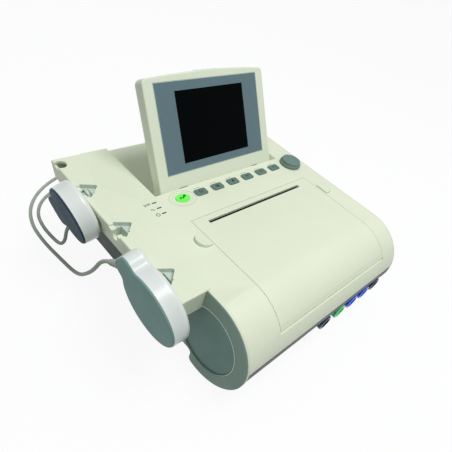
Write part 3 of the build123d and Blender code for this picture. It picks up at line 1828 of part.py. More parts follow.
def plug(index):
    """Round plug lying beside its coil, with the cable's boot at its rear."""
    end = Vector(*coil_route(index)[-1][2])
    turned = Plane(origin=end, z_dir=(-1, 0, 0))
    up = (Align.CENTER, Align.CENTER, Align.MIN)
    tip = cable_diameter / 2 + plug_boot_wall
    boot = Cone(tip, plug_grip_radius - plug_boot_step, plug_boot_length, align=up)
    grip = Pos(0, 0, plug_boot_length) * Cylinder(plug_grip_radius, plug_grip_length, align=up)
    grip = chamfer(grip.edges().filter_by(GeomType.CIRCLE), plug_edge)
    front = plug_boot_length + plug_grip_length
    sleeve = Pos(0, 0, front) * Cylinder(plug_radius, plug_length, align=up)
    room = Cylinder(plug_radius - plug_sleeve_wall, plug_length, align=up)
    sleeve -= Pos(0, 0, front + plug_sleeve_depth) * room
    core_length = plug_length - plug_core_sink
    core = Pos(0, 0, front) * Cylinder(plug_radius - plug_core_gap, core_length, align=up)
    return turned * (boot + grip + sleeve + core)


def main():
    os.makedirs("parts", exist_ok=True)
    nodes = {}
    nodes["top_cover"] = top_cover()
    nodes["bottom_cover"] = bottom_cover()
    nodes["left_side_panel"] = left_side_panel()
    nodes["right_side_panel"] = right_side_panel()
    nodes["rear_panel"] = rear_panel()
    nodes["feet"] = feet()
    nodes["case_screws"] = case_screws()
    for number, x in enumerate(key_places(), start=1):
        nodes[f"key_{number}"] = key(x)
    nodes["start_key"] = start_key()
    nodes["key_board"] = key_board()
    nodes["lamp_lenses"] = lamp_lenses()
    nodes["knob"] = knob()
    nodes["knob_shaft"] = knob_shaft()
    nodes["encoder_body"] = encoder_body()
    raised = flat_to_case(display_tilt)
    nodes["display_bezel"] = raised * display_bezel()
    nodes["display_back"] = raised * display_back()
    nodes["display_window"] = raised * display_window()
    nodes["lcd_module"] = raised * lcd_module()
    nodes["alarm_lens"] = raised * alarm_lens()
    nodes["hinge_brackets"] = flat_to_case(0) * hinge_brackets()
    nodes["drawer_cover"] = drawer_cover()
    nodes["latch_left"] = latch("left")
    nodes["latch_right"] = latch("right")
    nodes["paper_bin"] = paper_bin()
    nodes["paper_pack"] = paper_pack()
    nodes["platen_roller"] = platen_roller()
    nodes["drive_gear"] = drive_gear()
    nodes["printer_motor"] = printer_motor()
    nodes["print_head"] = print_head()
    nodes["socket_panel"] = socket_panel()
    nodes["toco_socket"] = sockets_at([1])
    nodes["ultrasound_sockets"] = sockets_at([2, 3])
    nodes["auxiliary_sockets"] = sockets_at([0, 4])
    nodes["inlet_and_switch"] = mains_inlet() + rocker_housing()
    nodes["power_rocker"] = power_rocker()
    nodes["main_board"] = main_board()
    nodes["power_supply"] = power_supply()
    nodes["battery_pack"] = battery_pack()
    nodes["speaker"] = speaker()
    for index, name in enumerate(("rear", "front")):
        place = transducer_place(index)
        nodes[f"{name}_transducer_shell"] = place * transducer_shell(index)
        nodes[f"{name}_transducer_face"] = place * transducer_face(index)
        nodes[f"{name}_transducer_element"] = place * transducer_element(index)
        nodes[f"{name}_belt_button"] = place * belt_button(index)
        nodes[f"{name}_strain_relief"] = strain_relief(index)
        nodes[f"{name}_cable"] = cable(index)
        nodes[f"{name}_cable_coil"] = coil(index)
        nodes[f"{name}_cable_plug"] = plug(index)
    for name, part in nodes.items():
        pieces = [round(solid.volume, 1) for solid in part.solids()]
        print(name, "valid" if part.is_valid else "NOT VALID", pieces[:8])
        export_step(part, f"parts/{name}.step")
    return nodes


nodes = main()
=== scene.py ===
from math import cos, pi, radians, sin

import bmesh
import bpy
from mathutils import Matrix, Vector


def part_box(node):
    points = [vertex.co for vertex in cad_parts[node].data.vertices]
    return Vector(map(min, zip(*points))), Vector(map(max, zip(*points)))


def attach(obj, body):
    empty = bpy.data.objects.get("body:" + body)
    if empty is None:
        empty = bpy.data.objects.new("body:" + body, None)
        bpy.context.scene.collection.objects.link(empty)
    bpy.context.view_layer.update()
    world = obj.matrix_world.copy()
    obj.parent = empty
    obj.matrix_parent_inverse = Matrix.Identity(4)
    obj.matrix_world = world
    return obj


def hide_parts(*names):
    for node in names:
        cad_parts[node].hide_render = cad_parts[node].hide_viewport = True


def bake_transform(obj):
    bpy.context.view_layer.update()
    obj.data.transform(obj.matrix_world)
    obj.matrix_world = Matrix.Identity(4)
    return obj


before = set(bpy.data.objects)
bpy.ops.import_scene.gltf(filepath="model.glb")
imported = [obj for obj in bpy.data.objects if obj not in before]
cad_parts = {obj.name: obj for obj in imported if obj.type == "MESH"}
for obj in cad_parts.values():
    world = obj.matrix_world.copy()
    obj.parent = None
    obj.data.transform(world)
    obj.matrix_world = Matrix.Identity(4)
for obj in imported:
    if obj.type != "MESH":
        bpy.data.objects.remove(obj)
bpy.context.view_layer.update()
mm = 0.001
key_numbers = range(1, 7)

# Places in the case, read from its nodes
right_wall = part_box("right_side_panel")[1].x
left_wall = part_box("left_side_panel")[0].x
middle = (left_wall + right_wall) / 2
front_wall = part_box("left_side_panel")[0].y
rear_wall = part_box("left_side_panel")[1].y
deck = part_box("left_side_panel")[1].z
shelf_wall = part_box("top_cover")[0].x

# Places that the boxes don't give
display_face = rear_wall - 129 * mm     # at deck level
display_tilt = radians(59.2)            # at rest, from lying flat
seam = 68 * mm                          # between the two covers
nose_y = front_wall + 57 * mm           # middle of the round nose
dish_z = deck - 59 * mm                 # middle of the dish in each side panel

# Camera, solved on the photograph
picture_width = 452
focal_length_in_pixels = 424.108
sensor_width = 36
camera_right = Vector((0.711466, -0.657472, 0.248085))
camera_down = Vector((-0.3028, -0.605408, -0.736066))
camera_forward = Vector((0.634135, 0.448567, -0.62981))
camera_place = Vector((right_wall - 0.51995, display_face - 0.29745, deck + 0.30445))


def make_camera():
    data = bpy.data.cameras.new("camera")
    data.sensor_width = sensor_width
    data.lens = focal_length_in_pixels / picture_width * sensor_width
    data.clip_start = 0.02
    data.clip_end = 30
    camera = bpy.data.objects.new("camera", data)
    bpy.context.scene.collection.objects.link(camera)
    columns = (camera_right, -camera_down, -camera_forward, camera_place)
    rows = [tuple(column[i] for column in columns) for i in range(3)]
    camera.matrix_world = Matrix([*rows, (0, 0, 0, 1)])
    bpy.context.scene.camera = camera


make_camera()


# Cables, in millimetres: the free route's points, then a coil worked out turn by turn
cable_diameter = 4.5
free_points = {
    "rear": [
        (-147.64, 108.38, 45.29),
        (-148.08, 113.43, 34.42),
        (-150.3, 111.8, 18.5),
        (-151.9, 120.3, 4.8),
        (-153.7, 137.3, 2.3),
        (-155.2, 162.3, 2.3),
        (-150.7, 190.3, 2.3),
        (-131.7, 216.3, 2.3),
        (-95.7, 234.3, 2.3),
        (-47.7, 238.3, 2.3),
        (-1.7, 250.3, 2.3),
        (38.3, 253.3, 2.3),
        (72.8, 260.4, 2.25),
    ],
    "front": [
        (-163.29, -4.43, 95.43),
        (-165.32, 5.97, 89.8),
        (-168.9, 14.0, 68.0),
        (-165.7, 32.7, 42.0),
        (-161.2, 53.3, 17.0),
        (-159.7, 74.3, 3.4),
        (-162.7, 102.3, 2.3),
        (-166.7, 136.3, 2.3),
        (-165.7, 174.3, 2.3),
        (-151.7, 210.3, 2.3),
        (-121.7, 240.3, 2.3),
        (-79.7, 260.3, 2.3),
        (-27.7, 269.3, 2.3),
        (30.3, 270.3, 2.3),
        (86.3, 274.3, 2.3),
        (134.3, 266.3, 2.3),
        (163.8, 254.62, 2.25),
    ],
}
coil_centre = {"rear": (110.3, 229.3), "front": (194.3, 226.5)}
coil_inner = {"rear": 21.1, "front": 18.12}
coil_rise = 5.0                         # from one layer to the next
coil_steps = 5                          # half turns across one layer
coil_drop = -8.75                       # climb of the last half turn
coil_clear = 2                          # each of the last two stands this much further out
points_per_half_turn = 8


def half_turns(inner):
    """Radius and climb of each half turn of a put-away coil."""
    step = coil_rise / 2
    outward = [(inner + step * i, 0) for i in range(coil_steps)]
    inward = outward[::-1]
    inside, outside = inner - step, inner + step * coil_steps
    return [
        *inward, (inside, coil_rise), *outward, (outside, coil_rise), *inward,
        (inside, coil_rise), *outward, (outside + coil_clear, 0),
        (outside + step + 2 * coil_clear, coil_drop),
    ]


def coil_points(name):
    x, y = coil_centre[name]
    z = cable_diameter / 2
    turns = half_turns(coil_inner[name])
    y += turns[0][0]
    points = [(x - cable_diameter, y, z)]
    side = 1
    for radius, climb in turns:
        y_middle = y - side * radius
        grown = radius / cos(pi / points_per_half_turn / 2)
        for i in range(points_per_half_turn):
            share = (i + 0.5) / points_per_half_turn
            angle = pi * share
            points.append(
                (x + side * grown * sin(angle), y_middle + side * grown * cos(angle), z + climb * share)
            )
        side, y, z = -side, y - side * 2 * radius, z + climb
    points.append((x, y, z))
    points.append((x - cable_diameter, y, z))
    return points


def spline_curve(name, points, bevel):
    curve = bpy.data.curves.new(name, "CURVE")
    curve.dimensions = "3D"
    curve.resolution_u = 8
    curve.bevel_depth = bevel
    curve.bevel_resolution = 5
    curve.use_fill_caps = True
    spline = curve.splines.new("NURBS")
    spline.points.add(len(points) - 1)
    for target, point in zip(spline.points, points):
        target.co = (point[0] * mm, point[1] * mm, point[2] * mm, 1)
    spline.order_u = 3
    spline.use_endpoint_u = True
    return curve


def mesh_of_curve(name, curve):
    holder = bpy.data.objects.new(name + "_holder", curve)
    bpy.context.scene.collection.objects.link(holder)
    bpy.context.view_layer.update()
    graph = bpy.context.evaluated_depsgraph_get()
    mesh = bpy.data.meshes.new_from_object(holder.evaluated_get(graph), depsgraph=graph)
    bpy.data.objects.remove(holder)
    return mesh


def make_cable(name):
    points = free_points[name] + coil_points(name)
    line = mesh_of_curve(name + "_line", spline_curve(name + "_line", points, 0))
    tube = mesh_of_curve(name + "_tube", spline_curve(name + "_tube", points, cable_diameter / 2 * mm))
    tube.name = name + "_cable_tube"
    for polygon in tube.polygons:
        polygon.use_smooth = True
    piece = bpy.data.objects.new(name + "_cable_tube", tube)
    bpy.context.scene.collection.objects.link(piece)
    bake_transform(piece)
    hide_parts(name + "_cable", name + "_cable_coil")
    return piece


cables = [make_cable("rear"), make_cable("front")]


# Marks and small parts, sizes in millimetres unless it says otherwise
mark_rise = 0.04
mark_sink = 0.15
wave_steps = 16
lamp_width = 2                          # front to rear, of one lamp window

# Ovals round the start key: width, height, band and rise of each
start_ovals = ((36, 27, 0.9, 0.25), (28, 20, 0.5, 0.12))
oval_steps = 72

# Dashes behind each key
dash_lengths = (2.6, 1.4, 3.0)
dash_start = -4.5
dash_gap = 0.9
dash_width = 0.55
dash_behind_key = 1.7

# Edge of the display's window
edge_inset = 0.5
edge_band = 0.8
edge_rise = 0.12

# Strain reliefs: where each starts, which way it points, and its length
reliefs = {
    "rear": ((-146.889, 99.833, 63.69), (-0.03683, 0.42101, -0.90631), 20),
    "front": ((-158.19, -30.696, 109.656), (-0.16847, 0.86673, -0.46947), 30),
}
relief_root_radius = 6.0
relief_tip_radius = 3.0
rib_count = 6
rib_lead = 0.8                          # spacings from the root to the first ring
rib_spacings = rib_count + 0.6          # in the whole length
rib_sink = 0.1
rib_radius = 0.55

# Contacts in the sockets
socket_radius = 10.5
socket_bore_depth = 10
contact_count = 6
contact_circle = 4
contact_radius = 0.28
contact_thickness = 0.24
contact_depths = (0.0, 1.0, 2.0)

# Bead in the dish of each side panel, which carries a painted highlight
bead_circle = 40.1
bead_radius = 0.5
bead_inset = 0.35


def place_piece(name, shape, body, material):
    """Makes a bmesh a visible piece that rides on a body."""
    bmesh.ops.recalc_face_normals(shape, faces=shape.faces)
    mesh = bpy.data.meshes.new(name)
    shape.to_mesh(mesh)
    shape.free()
    piece = bpy.data.objects.new(name, mesh)
    bpy.context.scene.collection.objects.link(piece)
    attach(piece, body)
    mesh.materials.append(material)


class Marks:
    """Strokes and plates in one plane: origin, then the ways right, up and out of it."""

    def __init__(self, origin, right, up):
        self.origin = Vector(origin)
        self.right, self.up = Vector(right), Vector(up)
        self.out = self.right.cross(self.up)
        self.shape = bmesh.new()

    def point(self, x, y, z):
        return self.origin + (self.right * x + self.up * y + self.out * z) * mm

    def plate(self, outline, rise):
        corners = [self.shape.verts.new(self.point(x, y, rise)) for x, y in outline]
        feet = [self.shape.verts.new(self.point(x, y, -mark_sink)) for x, y in outline]
        self.shape.faces.new(corners)
        self.shape.faces.new(feet[::-1])
        for i in range(len(corners)):
            j = (i + 1) % len(corners)
            self.shape.faces.new((corners[i], feet[i], feet[j], corners[j]))

    def stroke(self, points, width, rise, closed=False):
        """A band along points, drawn as one plate for each stretch between two of them."""
        count = len(points)
        stretches = count if closed else count - 1
        sides = []
        for i in range(count):
            before = points[(i - 1) % count] if closed or i else points[i]
            after = points[(i + 1) % count] if closed or i < count - 1 else points[i]
            way = Vector((after[0] - before[0], after[1] - before[1])).normalized()
            across = Vector((-way.y, way.x)) * width / 2
            here = Vector(points[i])
            sides.append((here + across, here - across))
        for i in range(stretches):
            (a, b), (c, d) = sides[i], sides[(i + 1) % count]
            self.plate([tuple(b), tuple(d), tuple(c), tuple(a)], rise)

    def ring(self, x, y, width, height, band, rise, steps=48):
        points = [
            (x + width / 2 * cos(2 * pi * i / steps), y + height / 2 * sin(2 * pi * i / steps))
            for i in range(steps)
        ]
        self.stroke(points, band, rise, closed=True)

    def wave(self, x, y, width, height, band, rise, swings=1.0):
        points = [
            (
                x + width * (i / wave_steps - 0.5),
                y + height / 2 * sin(2 * pi * swings * i / wave_steps),
            )
            for i in range(wave_steps + 1)
        ]
        self.stroke(points, band, rise)

    def finish(self, name, body, slot, material):
        place_piece(name, self.shape, body, material)


def marks_from_above(place):
    return Marks(place, (1, 0, 0), (0, 1, 0))


def top_middle(node):
    low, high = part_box(node)
    return (low.x + high.x) / 2, (low.y + high.y) / 2, high.z


def tube_ring(shape, centre, axis, radius, thickness, steps, sides):
    """A round ring about an axis, added to a bmesh; sizes in metres."""
    axis = Vector(axis).normalized()
    right = axis.orthogonal().normalized()
    up = axis.cross(right)
    loops = []
    for i in range(steps):
        turn = 2 * pi * i / steps
        way = right * cos(turn) + up * sin(turn)
        loop = []
        for j in range(sides):
            angle = 2 * pi * j / sides
            spot = way * (radius + thickness * cos(angle)) + axis * thickness * sin(angle)
            loop.append(shape.verts.new(Vector(centre) + spot))
        loops.append(loop)
    for i in range(steps):
        for j in range(sides):
            a, b = loops[i], loops[(i + 1) % steps]
            k = (j + 1) % sides
            face = shape.faces.new((a[j], b[j], b[k], a[k]))
            face.smooth = True


def ring_piece(name, rings, body, material, steps=32, sides=8):
    """One piece of several rings, each with its centre, axis, radius and thickness in metres."""
    shape = bmesh.new()
    for centre, axis, radius, thickness in rings:
        tube_ring(shape, centre, axis, radius, thickness, steps, sides)
    place_piece(name, shape, body, material)


def key_symbols(material):
    """One plain sign on each key, with its foot sunk in the key."""
    for number in key_numbers:
        marks = marks_from_above(top_middle(f"key_{number}"))
        if number == 1:
            marks.ring(0, 0, 4.4, 4.4, 0.8, mark_rise)
            marks.stroke([(-0.5, 0), (0.5, 0)], 1.0, mark_rise)
        elif number == 2:
            marks.plate([(-2.4, -1.8), (2.4, -1.8), (2.4, 0.6), (-2.4, 0.6)], mark_rise)
            marks.stroke([(-2.4, 1.8), (2.4, 1.8)], 0.8, mark_rise)
        elif number == 3:
            marks.plate([(-2.4, -1.2), (2.4, -1.2), (1.4, 2.0), (-1.4, 2.0)], mark_rise)
            marks.stroke([(-0.9, -2.0), (0.9, -2.0)], 0.9, mark_rise)
        elif number == 4:
            marks.wave(0, 0, 6.0, 3.4, 0.9, mark_rise, 1.5)
        elif number == 5:
            marks.stroke([(-2, -2), (2, -2), (2, 2), (-2, 2)], 0.7, mark_rise, closed=True)
            marks.stroke([(-1.1, 0), (1.1, 0)], 0.7, mark_rise)
        else:
            marks.stroke([(-3, -1.2), (0, 1.6), (3, -1.2)], 1.0, mark_rise)
        marks.finish(f"key_symbol_{number}", f"key_{number}", "black_plastic", material)


def start_sign(material):
    """A zigzag line with a hook at its end on the start key."""
    marks = marks_from_above(top_middle("start_key"))
    zigzag = [(-4.5, -1.5), (-2.2, 1.2), (-0.2, -1.2), (1.6, 0.6), (4.6, 2.6)]
    marks.stroke(zigzag, 1.9, mark_rise)
    marks.stroke([(2.2, 3.0), (4.9, 2.9), (4.5, 0.6)], 1.6, mark_rise)
    marks.finish("start_key_sign", "start_key", "key_green", material)


def lamp_signs(marks, pitch):
    """Signs at the left of the three lamps, which are pitch apart."""
    arch = [(-9.6, pitch - 1.2), (-9.6, pitch + 1.4), (-6.2, pitch + 1.4), (-6.2, pitch - 1.2)]
    hook = [(-14.2, pitch + 1.2), (-12.0, pitch + 1.2), (-12.0, pitch - 1.2), (-14.2, pitch - 1.2)]
    marks.stroke(arch, 0.9, mark_rise)
    marks.stroke(hook, 0.9, mark_rise)
    marks.stroke([(-8.6, pitch), (-7.2, pitch)], 1.0, mark_rise)
    marks.wave(-8.4, 0, 4.6, 1.8, 0.9, mark_rise)
    marks.ring(-8.0, -pitch, 4.2, 4.2, 0.8, mark_rise)


def key_label(marks, x, y):
    """A short dashed line in place of a label."""
    x += dash_start
    for length in dash_lengths:
        marks.stroke([(x, y), (x + length, y)], dash_width, mark_rise)
        x += length + dash_gap


def deck_marks(material):
    """The signs beside the lamps and the dashes behind each key, in one piece."""
    low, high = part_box("lamp_lenses")
    x, y = top_middle("lamp_lenses")[:2]
    marks = marks_from_above((x, y, deck))
    lamp_signs(marks, ((high.y - low.y) / mm - lamp_width) / 2)
    for number in key_numbers:
        key_x = (top_middle(f"key_{number}")[0] - x) / mm
        key_y = (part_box(f"key_{number}")[1].y - y) / mm + dash_behind_key
        key_label(marks, key_x, key_y)
    marks.finish("deck_marks", "case", "black_plastic", material)


def start_ring(material):
    """Two raised oval lines round the start key, the outer one bolder."""
    x, y = top_middle("start_key")[:2]
    marks = marks_from_above((x, y, deck))
    for width, height, band, rise in start_ovals:
        marks.ring(0, 0, width, height, band, rise, oval_steps)
    marks.finish("start_key_ring", "case", "shell", material)


def window_edge(material):
    """Narrow raised edge round the display's window."""
    up = Vector((0, cos(display_tilt), sin(display_tilt)))
    out = Vector((0, -sin(display_tilt), cos(display_tilt)))
    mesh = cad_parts["display_window"].data
    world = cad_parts["display_window"].matrix_world
    spots = [world @ v.co for v in mesh.vertices]
    face = max(spot.dot(out) for spot in spots)
    low, high = min(spot.dot(up) for spot in spots), max(spot.dot(up) for spot in spots)
    half_width = (max(spot.x for spot in spots) - min(spot.x for spot in spots)) / 2
    origin = Vector((middle, 0, 0)) + up * (low + high) / 2 + out * face
    marks = Marks(origin, (1, 0, 0), up)
    y = (high - low) / 2 / mm - edge_inset
    x = half_width / mm - edge_inset
    corners = [(-x, -y), (x, -y), (x, y), (-x, y)]
    for i in range(4):
        marks.stroke([corners[i], corners[(i + 1) % 4]], edge_band, edge_rise)
    marks.finish("window_edge", "display", "display_housing", material)


def relief_ribs(name, material):
    """Rings round a strain relief, from its root to near its tip."""
    start, way, length = reliefs[name]
    start, way = Vector(start) * mm, Vector(way)
    rings = []
    for i in range(rib_count):
        share = (i + rib_lead) / rib_spacings
        radius = (relief_root_radius + (relief_tip_radius - relief_root_radius) * share) * mm
        centre = start + way * length * share * mm
        rings.append((centre, way, radius - rib_sink * mm, rib_radius * mm))
    ring_piece(
        name + "_relief_ribs", rings, name + "_transducer", material
    )


def socket_contacts(material):
    """Six contacts from the bottom of each socket's bore, each a stack of three small rings."""
    rings = []
    for node, count in (("toco_socket", 1), ("ultrasound_sockets", 2), ("auxiliary_sockets", 2)):
        low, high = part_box(node)
        bottom, z = low.y + socket_bore_depth * mm, (low.z + high.z) / 2
        middles = [low.x + socket_radius * mm, high.x - socket_radius * mm][:count]
        for x in middles:
            for i in range(contact_count):
                angle = 2 * pi * i / contact_count
                contact_x = x + contact_circle * mm * cos(angle)
                contact_z = z + contact_circle * mm * sin(angle)
                for depth in contact_depths:
                    centre = (contact_x, bottom + depth * mm, contact_z)
                    rings.append((centre, (0, 1, 0), contact_radius * mm, contact_thickness * mm))
    ring_piece("socket_contacts", rings, "case", material, steps=12, sides=6)


def dish_glint_lines(material):
    """Thin bead on the edge of the dish in each side panel, carrying a painted highlight."""
    rings = [
        ((x, nose_y, dish_z), (1, 0, 0), bead_circle * mm, bead_radius * mm)
        for x in (left_wall + bead_inset * mm, right_wall - bead_inset * mm)
    ]
    ring_piece("dish_glint_lines", rings, "case", material, steps=96)


# Levels in the materials
noise_low, noise_high = 0.3, 0.7        # most of a noise lies between these
# Painted highlight: the pointiness band over which edges are made paler
highlight_from, highlight_to = 0.52, 0.6          # pointiness of an edge

# Places where a material changes colour, the first three from the middle of the dish: the edge of the
# painted shade in the dish, the start of the darker painted shade on the rest of the side panel, and the
# start of the rim
dish_shade_edge = (39.5 * mm, 41.2 * mm)
rest_shade_edge = (60 * mm, 75 * mm)
rim_start = 50 * mm
panel_edge = 0.8 * mm
# Bounds of the painted shade in the pockets of the shelf
pocket_shade_left = shelf_wall + 6.2 * mm
pocket_shade_heights = (deck - 24 * mm, deck - 0.8 * mm)
pocket_shade_stretch = (-90 * mm, 110 * mm)
# Band over which the painted highlight on the dish's bead fades in
bead_glint_band = (dish_z - front_wall - 70 * mm, dish_z - front_wall - 40 * mm)


def linear(r, g, b):
    """A colour of 0 to 255 as Blender takes it."""
    def one(value):
        value = value / 255
        return value / 12.92 if value <= 0.04045 else ((value + 0.055) / 1.055) ** 2.4

    return (one(r), one(g), one(b), 1)


def shade(color, factor):
    return tuple(min(1, c * factor) for c in color[:3]) + (1,)


def mix_colors(tree, share, a, b):
    """Mixes two colours, each a value or a socket, and gives the socket of the result."""
    node = tree.nodes.new("ShaderNodeMix")
    node.data_type = "RGBA"
    tree.links.new(share, node.inputs["Factor"])
    for socket, value in (("A", a), ("B", b)):
        target = [s for s in node.inputs if s.name == socket and s.type == "RGBA"][0]
        if isinstance(value, tuple):
            target.default_value = value
        else:
            tree.links.new(value, target)
    return [s for s in node.outputs if s.type == "RGBA"][0]


class Shader:
    """A small helper that adds nodes to one material."""

    def __init__(self, name, material=None):
        self.material = material or bpy.data.materials.new(name)
        self.material.use_nodes = True
        self.tree = self.material.node_tree
        self.surface = self.tree.nodes["Principled BSDF"]
        self.place = self.add("ShaderNodeTexCoord").outputs["Object"]

    def add(self, kind, **settings):
        node = self.tree.nodes.new(kind)
        for key, value in settings.items():
            setattr(node, key, value)
        return node

    def link(self, a, b):
        self.tree.links.new(a, b)

    def color(self, value):
        self.link(value, self.surface.inputs["Base Color"])

    def roughness(self, value):
        self.link(value, self.surface.inputs["Roughness"])

    def noise(self, scale, detail=2.0, roughness=0.5, stretch=None):
        node = self.add("ShaderNodeTexNoise")
        node.inputs["Scale"].default_value = scale
        node.inputs["Detail"].default_value = detail
        node.inputs["Roughness"].default_value = roughness
        if stretch is None:
            self.link(self.place, node.inputs["Vector"])
        else:
            mapping = self.add("ShaderNodeMapping")
            mapping.inputs["Scale"].default_value = stretch
            self.link(self.place, mapping.inputs["Vector"])
            self.link(mapping.outputs["Vector"], node.inputs["Vector"])
        return node.outputs["Fac"]

    def spread(self, value, low, high, to_low=0.0, to_high=1.0):
        node = self.add("ShaderNodeMapRange")
        node.inputs["From Min"].default_value = low
        node.inputs["From Max"].default_value = high
        node.inputs["To Min"].default_value = to_low
        node.inputs["To Max"].default_value = to_high
        self.link(value, node.inputs["Value"])
        return node.outputs["Result"]

    def clouds(self, scale, detail, to_low=0.0, to_high=1.0, roughness=0.5):
        """Noise that runs from one level to another."""
        return self.spread(self.noise(scale, detail, roughness), noise_low, noise_high, to_low, to_high)

    def mix(self, share, a, b):
        return mix_colors(self.tree, share, a, b)

    def math(self, kind, *values):
        node = self.add("ShaderNodeMath", operation=kind)
        for socket, value in zip(node.inputs, values):
            if isinstance(value, (int, float)):
                socket.default_value = value
            else:
                self.link(value, socket)
        return node.outputs[0]

    def all_of(self, *shares):
        """1 where every share is 1."""
        product = shares[0]
        for share in shares[1:]:
            product = self.math("MULTIPLY", product, share)
        return product

    def between(self, value, low, high):
        """1 where a value lies between two others."""
        return self.all_of(self.math("GREATER_THAN", value, low), self.math("LESS_THAN", value, high))

    def axes(self):
        node = self.add("ShaderNodeSeparateXYZ")
        self.link(self.place, node.inputs[0])
        return node.outputs["X"], node.outputs["Y"], node.outputs["Z"]

    def dish_distance(self):
        """Distance to the line through the middles of both dishes."""
        flat = self.add("ShaderNodeVectorMath", operation="MULTIPLY")
        flat.inputs[1].default_value = (0, 1, 1)
        self.link(self.place, flat.inputs[0])
        distance = self.add("ShaderNodeVectorMath", operation="DISTANCE")
        distance.inputs[1].default_value = (0, nose_y, dish_z)
        self.link(flat.outputs["Vector"], distance.inputs[0])
        return distance.outputs["Value"]

    def recolor(self, share, color):
        """Lays a colour over the base colour where share is 1."""
        self.color(self.mix(share, self.surface.inputs["Base Color"].links[0].from_socket, color))

    def bump(self, height, strength, distance):
        node = self.add("ShaderNodeBump")
        node.inputs["Strength"].default_value = strength
        node.inputs["Distance"].default_value = distance
        self.link(height, node.inputs["Height"])
        self.link(node.outputs["Normal"], self.surface.inputs["Normal"])

    def set(self, **values):
        names = {
            "rough": "Roughness", "metal": "Metallic", "coat": "Coat Weight",
            "coat_rough": "Coat Roughness", "ior": "IOR", "glow": "Emission Strength",
            "glow_color": "Emission Color",
        }
        for key, value in values.items():
            self.surface.inputs[names[key]].default_value = value


def plastic(name, rgb, rough=0.42, grain=900, depth=0.5, vary=0.05, edge_highlight=0.06, **more):
    """Moulded plastic: fine spark grain, slight cloudiness, painted highlight on the edges, uneven
    gloss.
    """
    s = Shader(name)
    color = linear(*rgb)
    base = s.mix(s.clouds(9, 3), shade(color, 1 - vary / 2), shade(color, 1 + vary / 2))
    edge = s.spread(s.add("ShaderNodeNewGeometry").outputs["Pointiness"], highlight_from, highlight_to)
    # Painted highlight on the edges, made paler by the share edge_highlight
    s.color(s.mix(s.math("MULTIPLY", edge, edge_highlight * 4), base, shade(color, 1.25)))
    s.roughness(s.clouds(35, 4, rough - 0.05, rough + 0.07, roughness=0.6))
    s.bump(s.noise(grain, 2, 0.6), depth, distance=0.00012)
    s.set(**more)
    return s.material


def dished(name, ring, dish, rest, rim):
    """Side panel plastic: pale ring at the nose, painted shade in the dish, deeper painted shade on the
    rest of the panel for the shade under the shelf, rim as the case.
    """
    material = plastic(name, ring, rough=0.5, grain=800, depth=0.7, vary=0.06)
    s = Shader(name, material)
    distance = s.dish_distance()
    pale = s.surface.inputs["Base Color"].links[0].from_socket
    # Painted shade: darker inside the dish, and darker still on the rest of the panel away from the nose
    dish_shade = s.mix(s.clouds(14, 3), shade(linear(*dish), 0.94), shade(linear(*dish), 1.06))
    nose = s.mix(s.spread(distance, *dish_shade_edge), dish_shade, pale)
    s.color(s.mix(s.spread(distance, *rest_shade_edge), nose, linear(*rest)))
    x, y, z = s.axes()
    from_middle = s.math("ABSOLUTE", s.math("SUBTRACT", x, middle))
    inner = s.math("LESS_THAN", from_middle, (right_wall - left_wall) / 2 - panel_edge)
    outer = s.math("GREATER_THAN", distance, rim_start)
    upper = s.math("GREATER_THAN", z, seam)
    fore = s.math("LESS_THAN", y, nose_y)
    s.recolor(s.all_of(inner, outer, s.math("MAXIMUM", upper, fore)), linear(*rim))
    return material


def cover_plastic(name, rgb, pocket_shade):
    """Case plastic, with painted shade inside the pockets of the shelf."""
    material = plastic(name, rgb, rough=0.42, vary=0.035)
    s = Shader(name, material)
    x, y, z = s.axes()
    inside = s.between(x, pocket_shade_left, left_wall)
    level = s.between(z, *pocket_shade_heights)
    along = s.between(y, *pocket_shade_stretch)
    # Painted shade: the pockets take a greyer colour
    s.recolor(s.all_of(inside, level, along), linear(*pocket_shade))
    return material


def bead_plastic(name, glint, dull):
    """Bead with a painted highlight on its upper front, dull behind."""
    material = plastic(name, dull, rough=0.3, depth=0.1)
    s = Shader(name, material)
    y, z = s.axes()[1:]
    # Painted highlight: paler towards the upper front
    s.recolor(s.spread(s.math("SUBTRACT", z, y), *bead_glint_band), linear(*glint))
    return material


def metal(name, rgb, rough=0.3):
    """Turned or drawn metal with fine lines along one way."""
    s = Shader(name)
    color = linear(*rgb)
    lines = s.noise(300, 3, 0.7, stretch=(1, 40, 40))
    s.color(s.mix(lines, shade(color, 0.8), shade(color, 1.1)))
    s.roughness(s.spread(lines, 0.2, 0.8, rough - 0.1, rough + 0.1))
    s.bump(lines, 0.3, distance=0.00005)
    s.set(metal=1.0)
    return s.material


def rubber(name, rgb, rough=0.62):
    """Soft jacket: matt, with slight dust and fine pitting."""
    s = Shader(name)
    color = linear(*rgb)
    dust = s.spread(s.noise(60, 5, 0.65), 0.45, 0.75)
    s.color(s.mix(dust, color, shade(color, 1.18)))
    s.roughness(s.clouds(120, 2, rough - 0.06, rough + 0.08))
    s.bump(s.noise(1400, 2), 0.4, distance=0.0001)
    return s.material


def board(name):
    """Green circuit board with copper tracks under the resist."""
    s = Shader(name)
    tracks = s.add("ShaderNodeTexVoronoi", feature="DISTANCE_TO_EDGE")
    tracks.inputs["Scale"].default_value = 260
    s.link(s.place, tracks.inputs["Vector"])
    line = s.spread(tracks.outputs["Distance"], 0.03, 0.08)
    s.color(s.mix(line, linear(60, 130, 80), linear(24, 84, 46)))
    s.bump(line, 0.3, distance=0.00005)
    s.set(rough=0.35)
    return s.material


def paper(name):
    """Chart paper with faint lines across the stack."""
    s = Shader(name)
    waves = s.add("ShaderNodeTexWave", wave_type="BANDS", bands_direction="Z")
    waves.inputs["Scale"].default_value = 160
    s.link(s.place, waves.inputs["Vector"])
    s.color(s.mix(waves.outputs["Fac"], linear(226, 222, 208), linear(246, 244, 236)))
    s.bump(s.noise(700, 4), 0.3, distance=0.0001)
    s.set(rough=0.85)
    return s.material


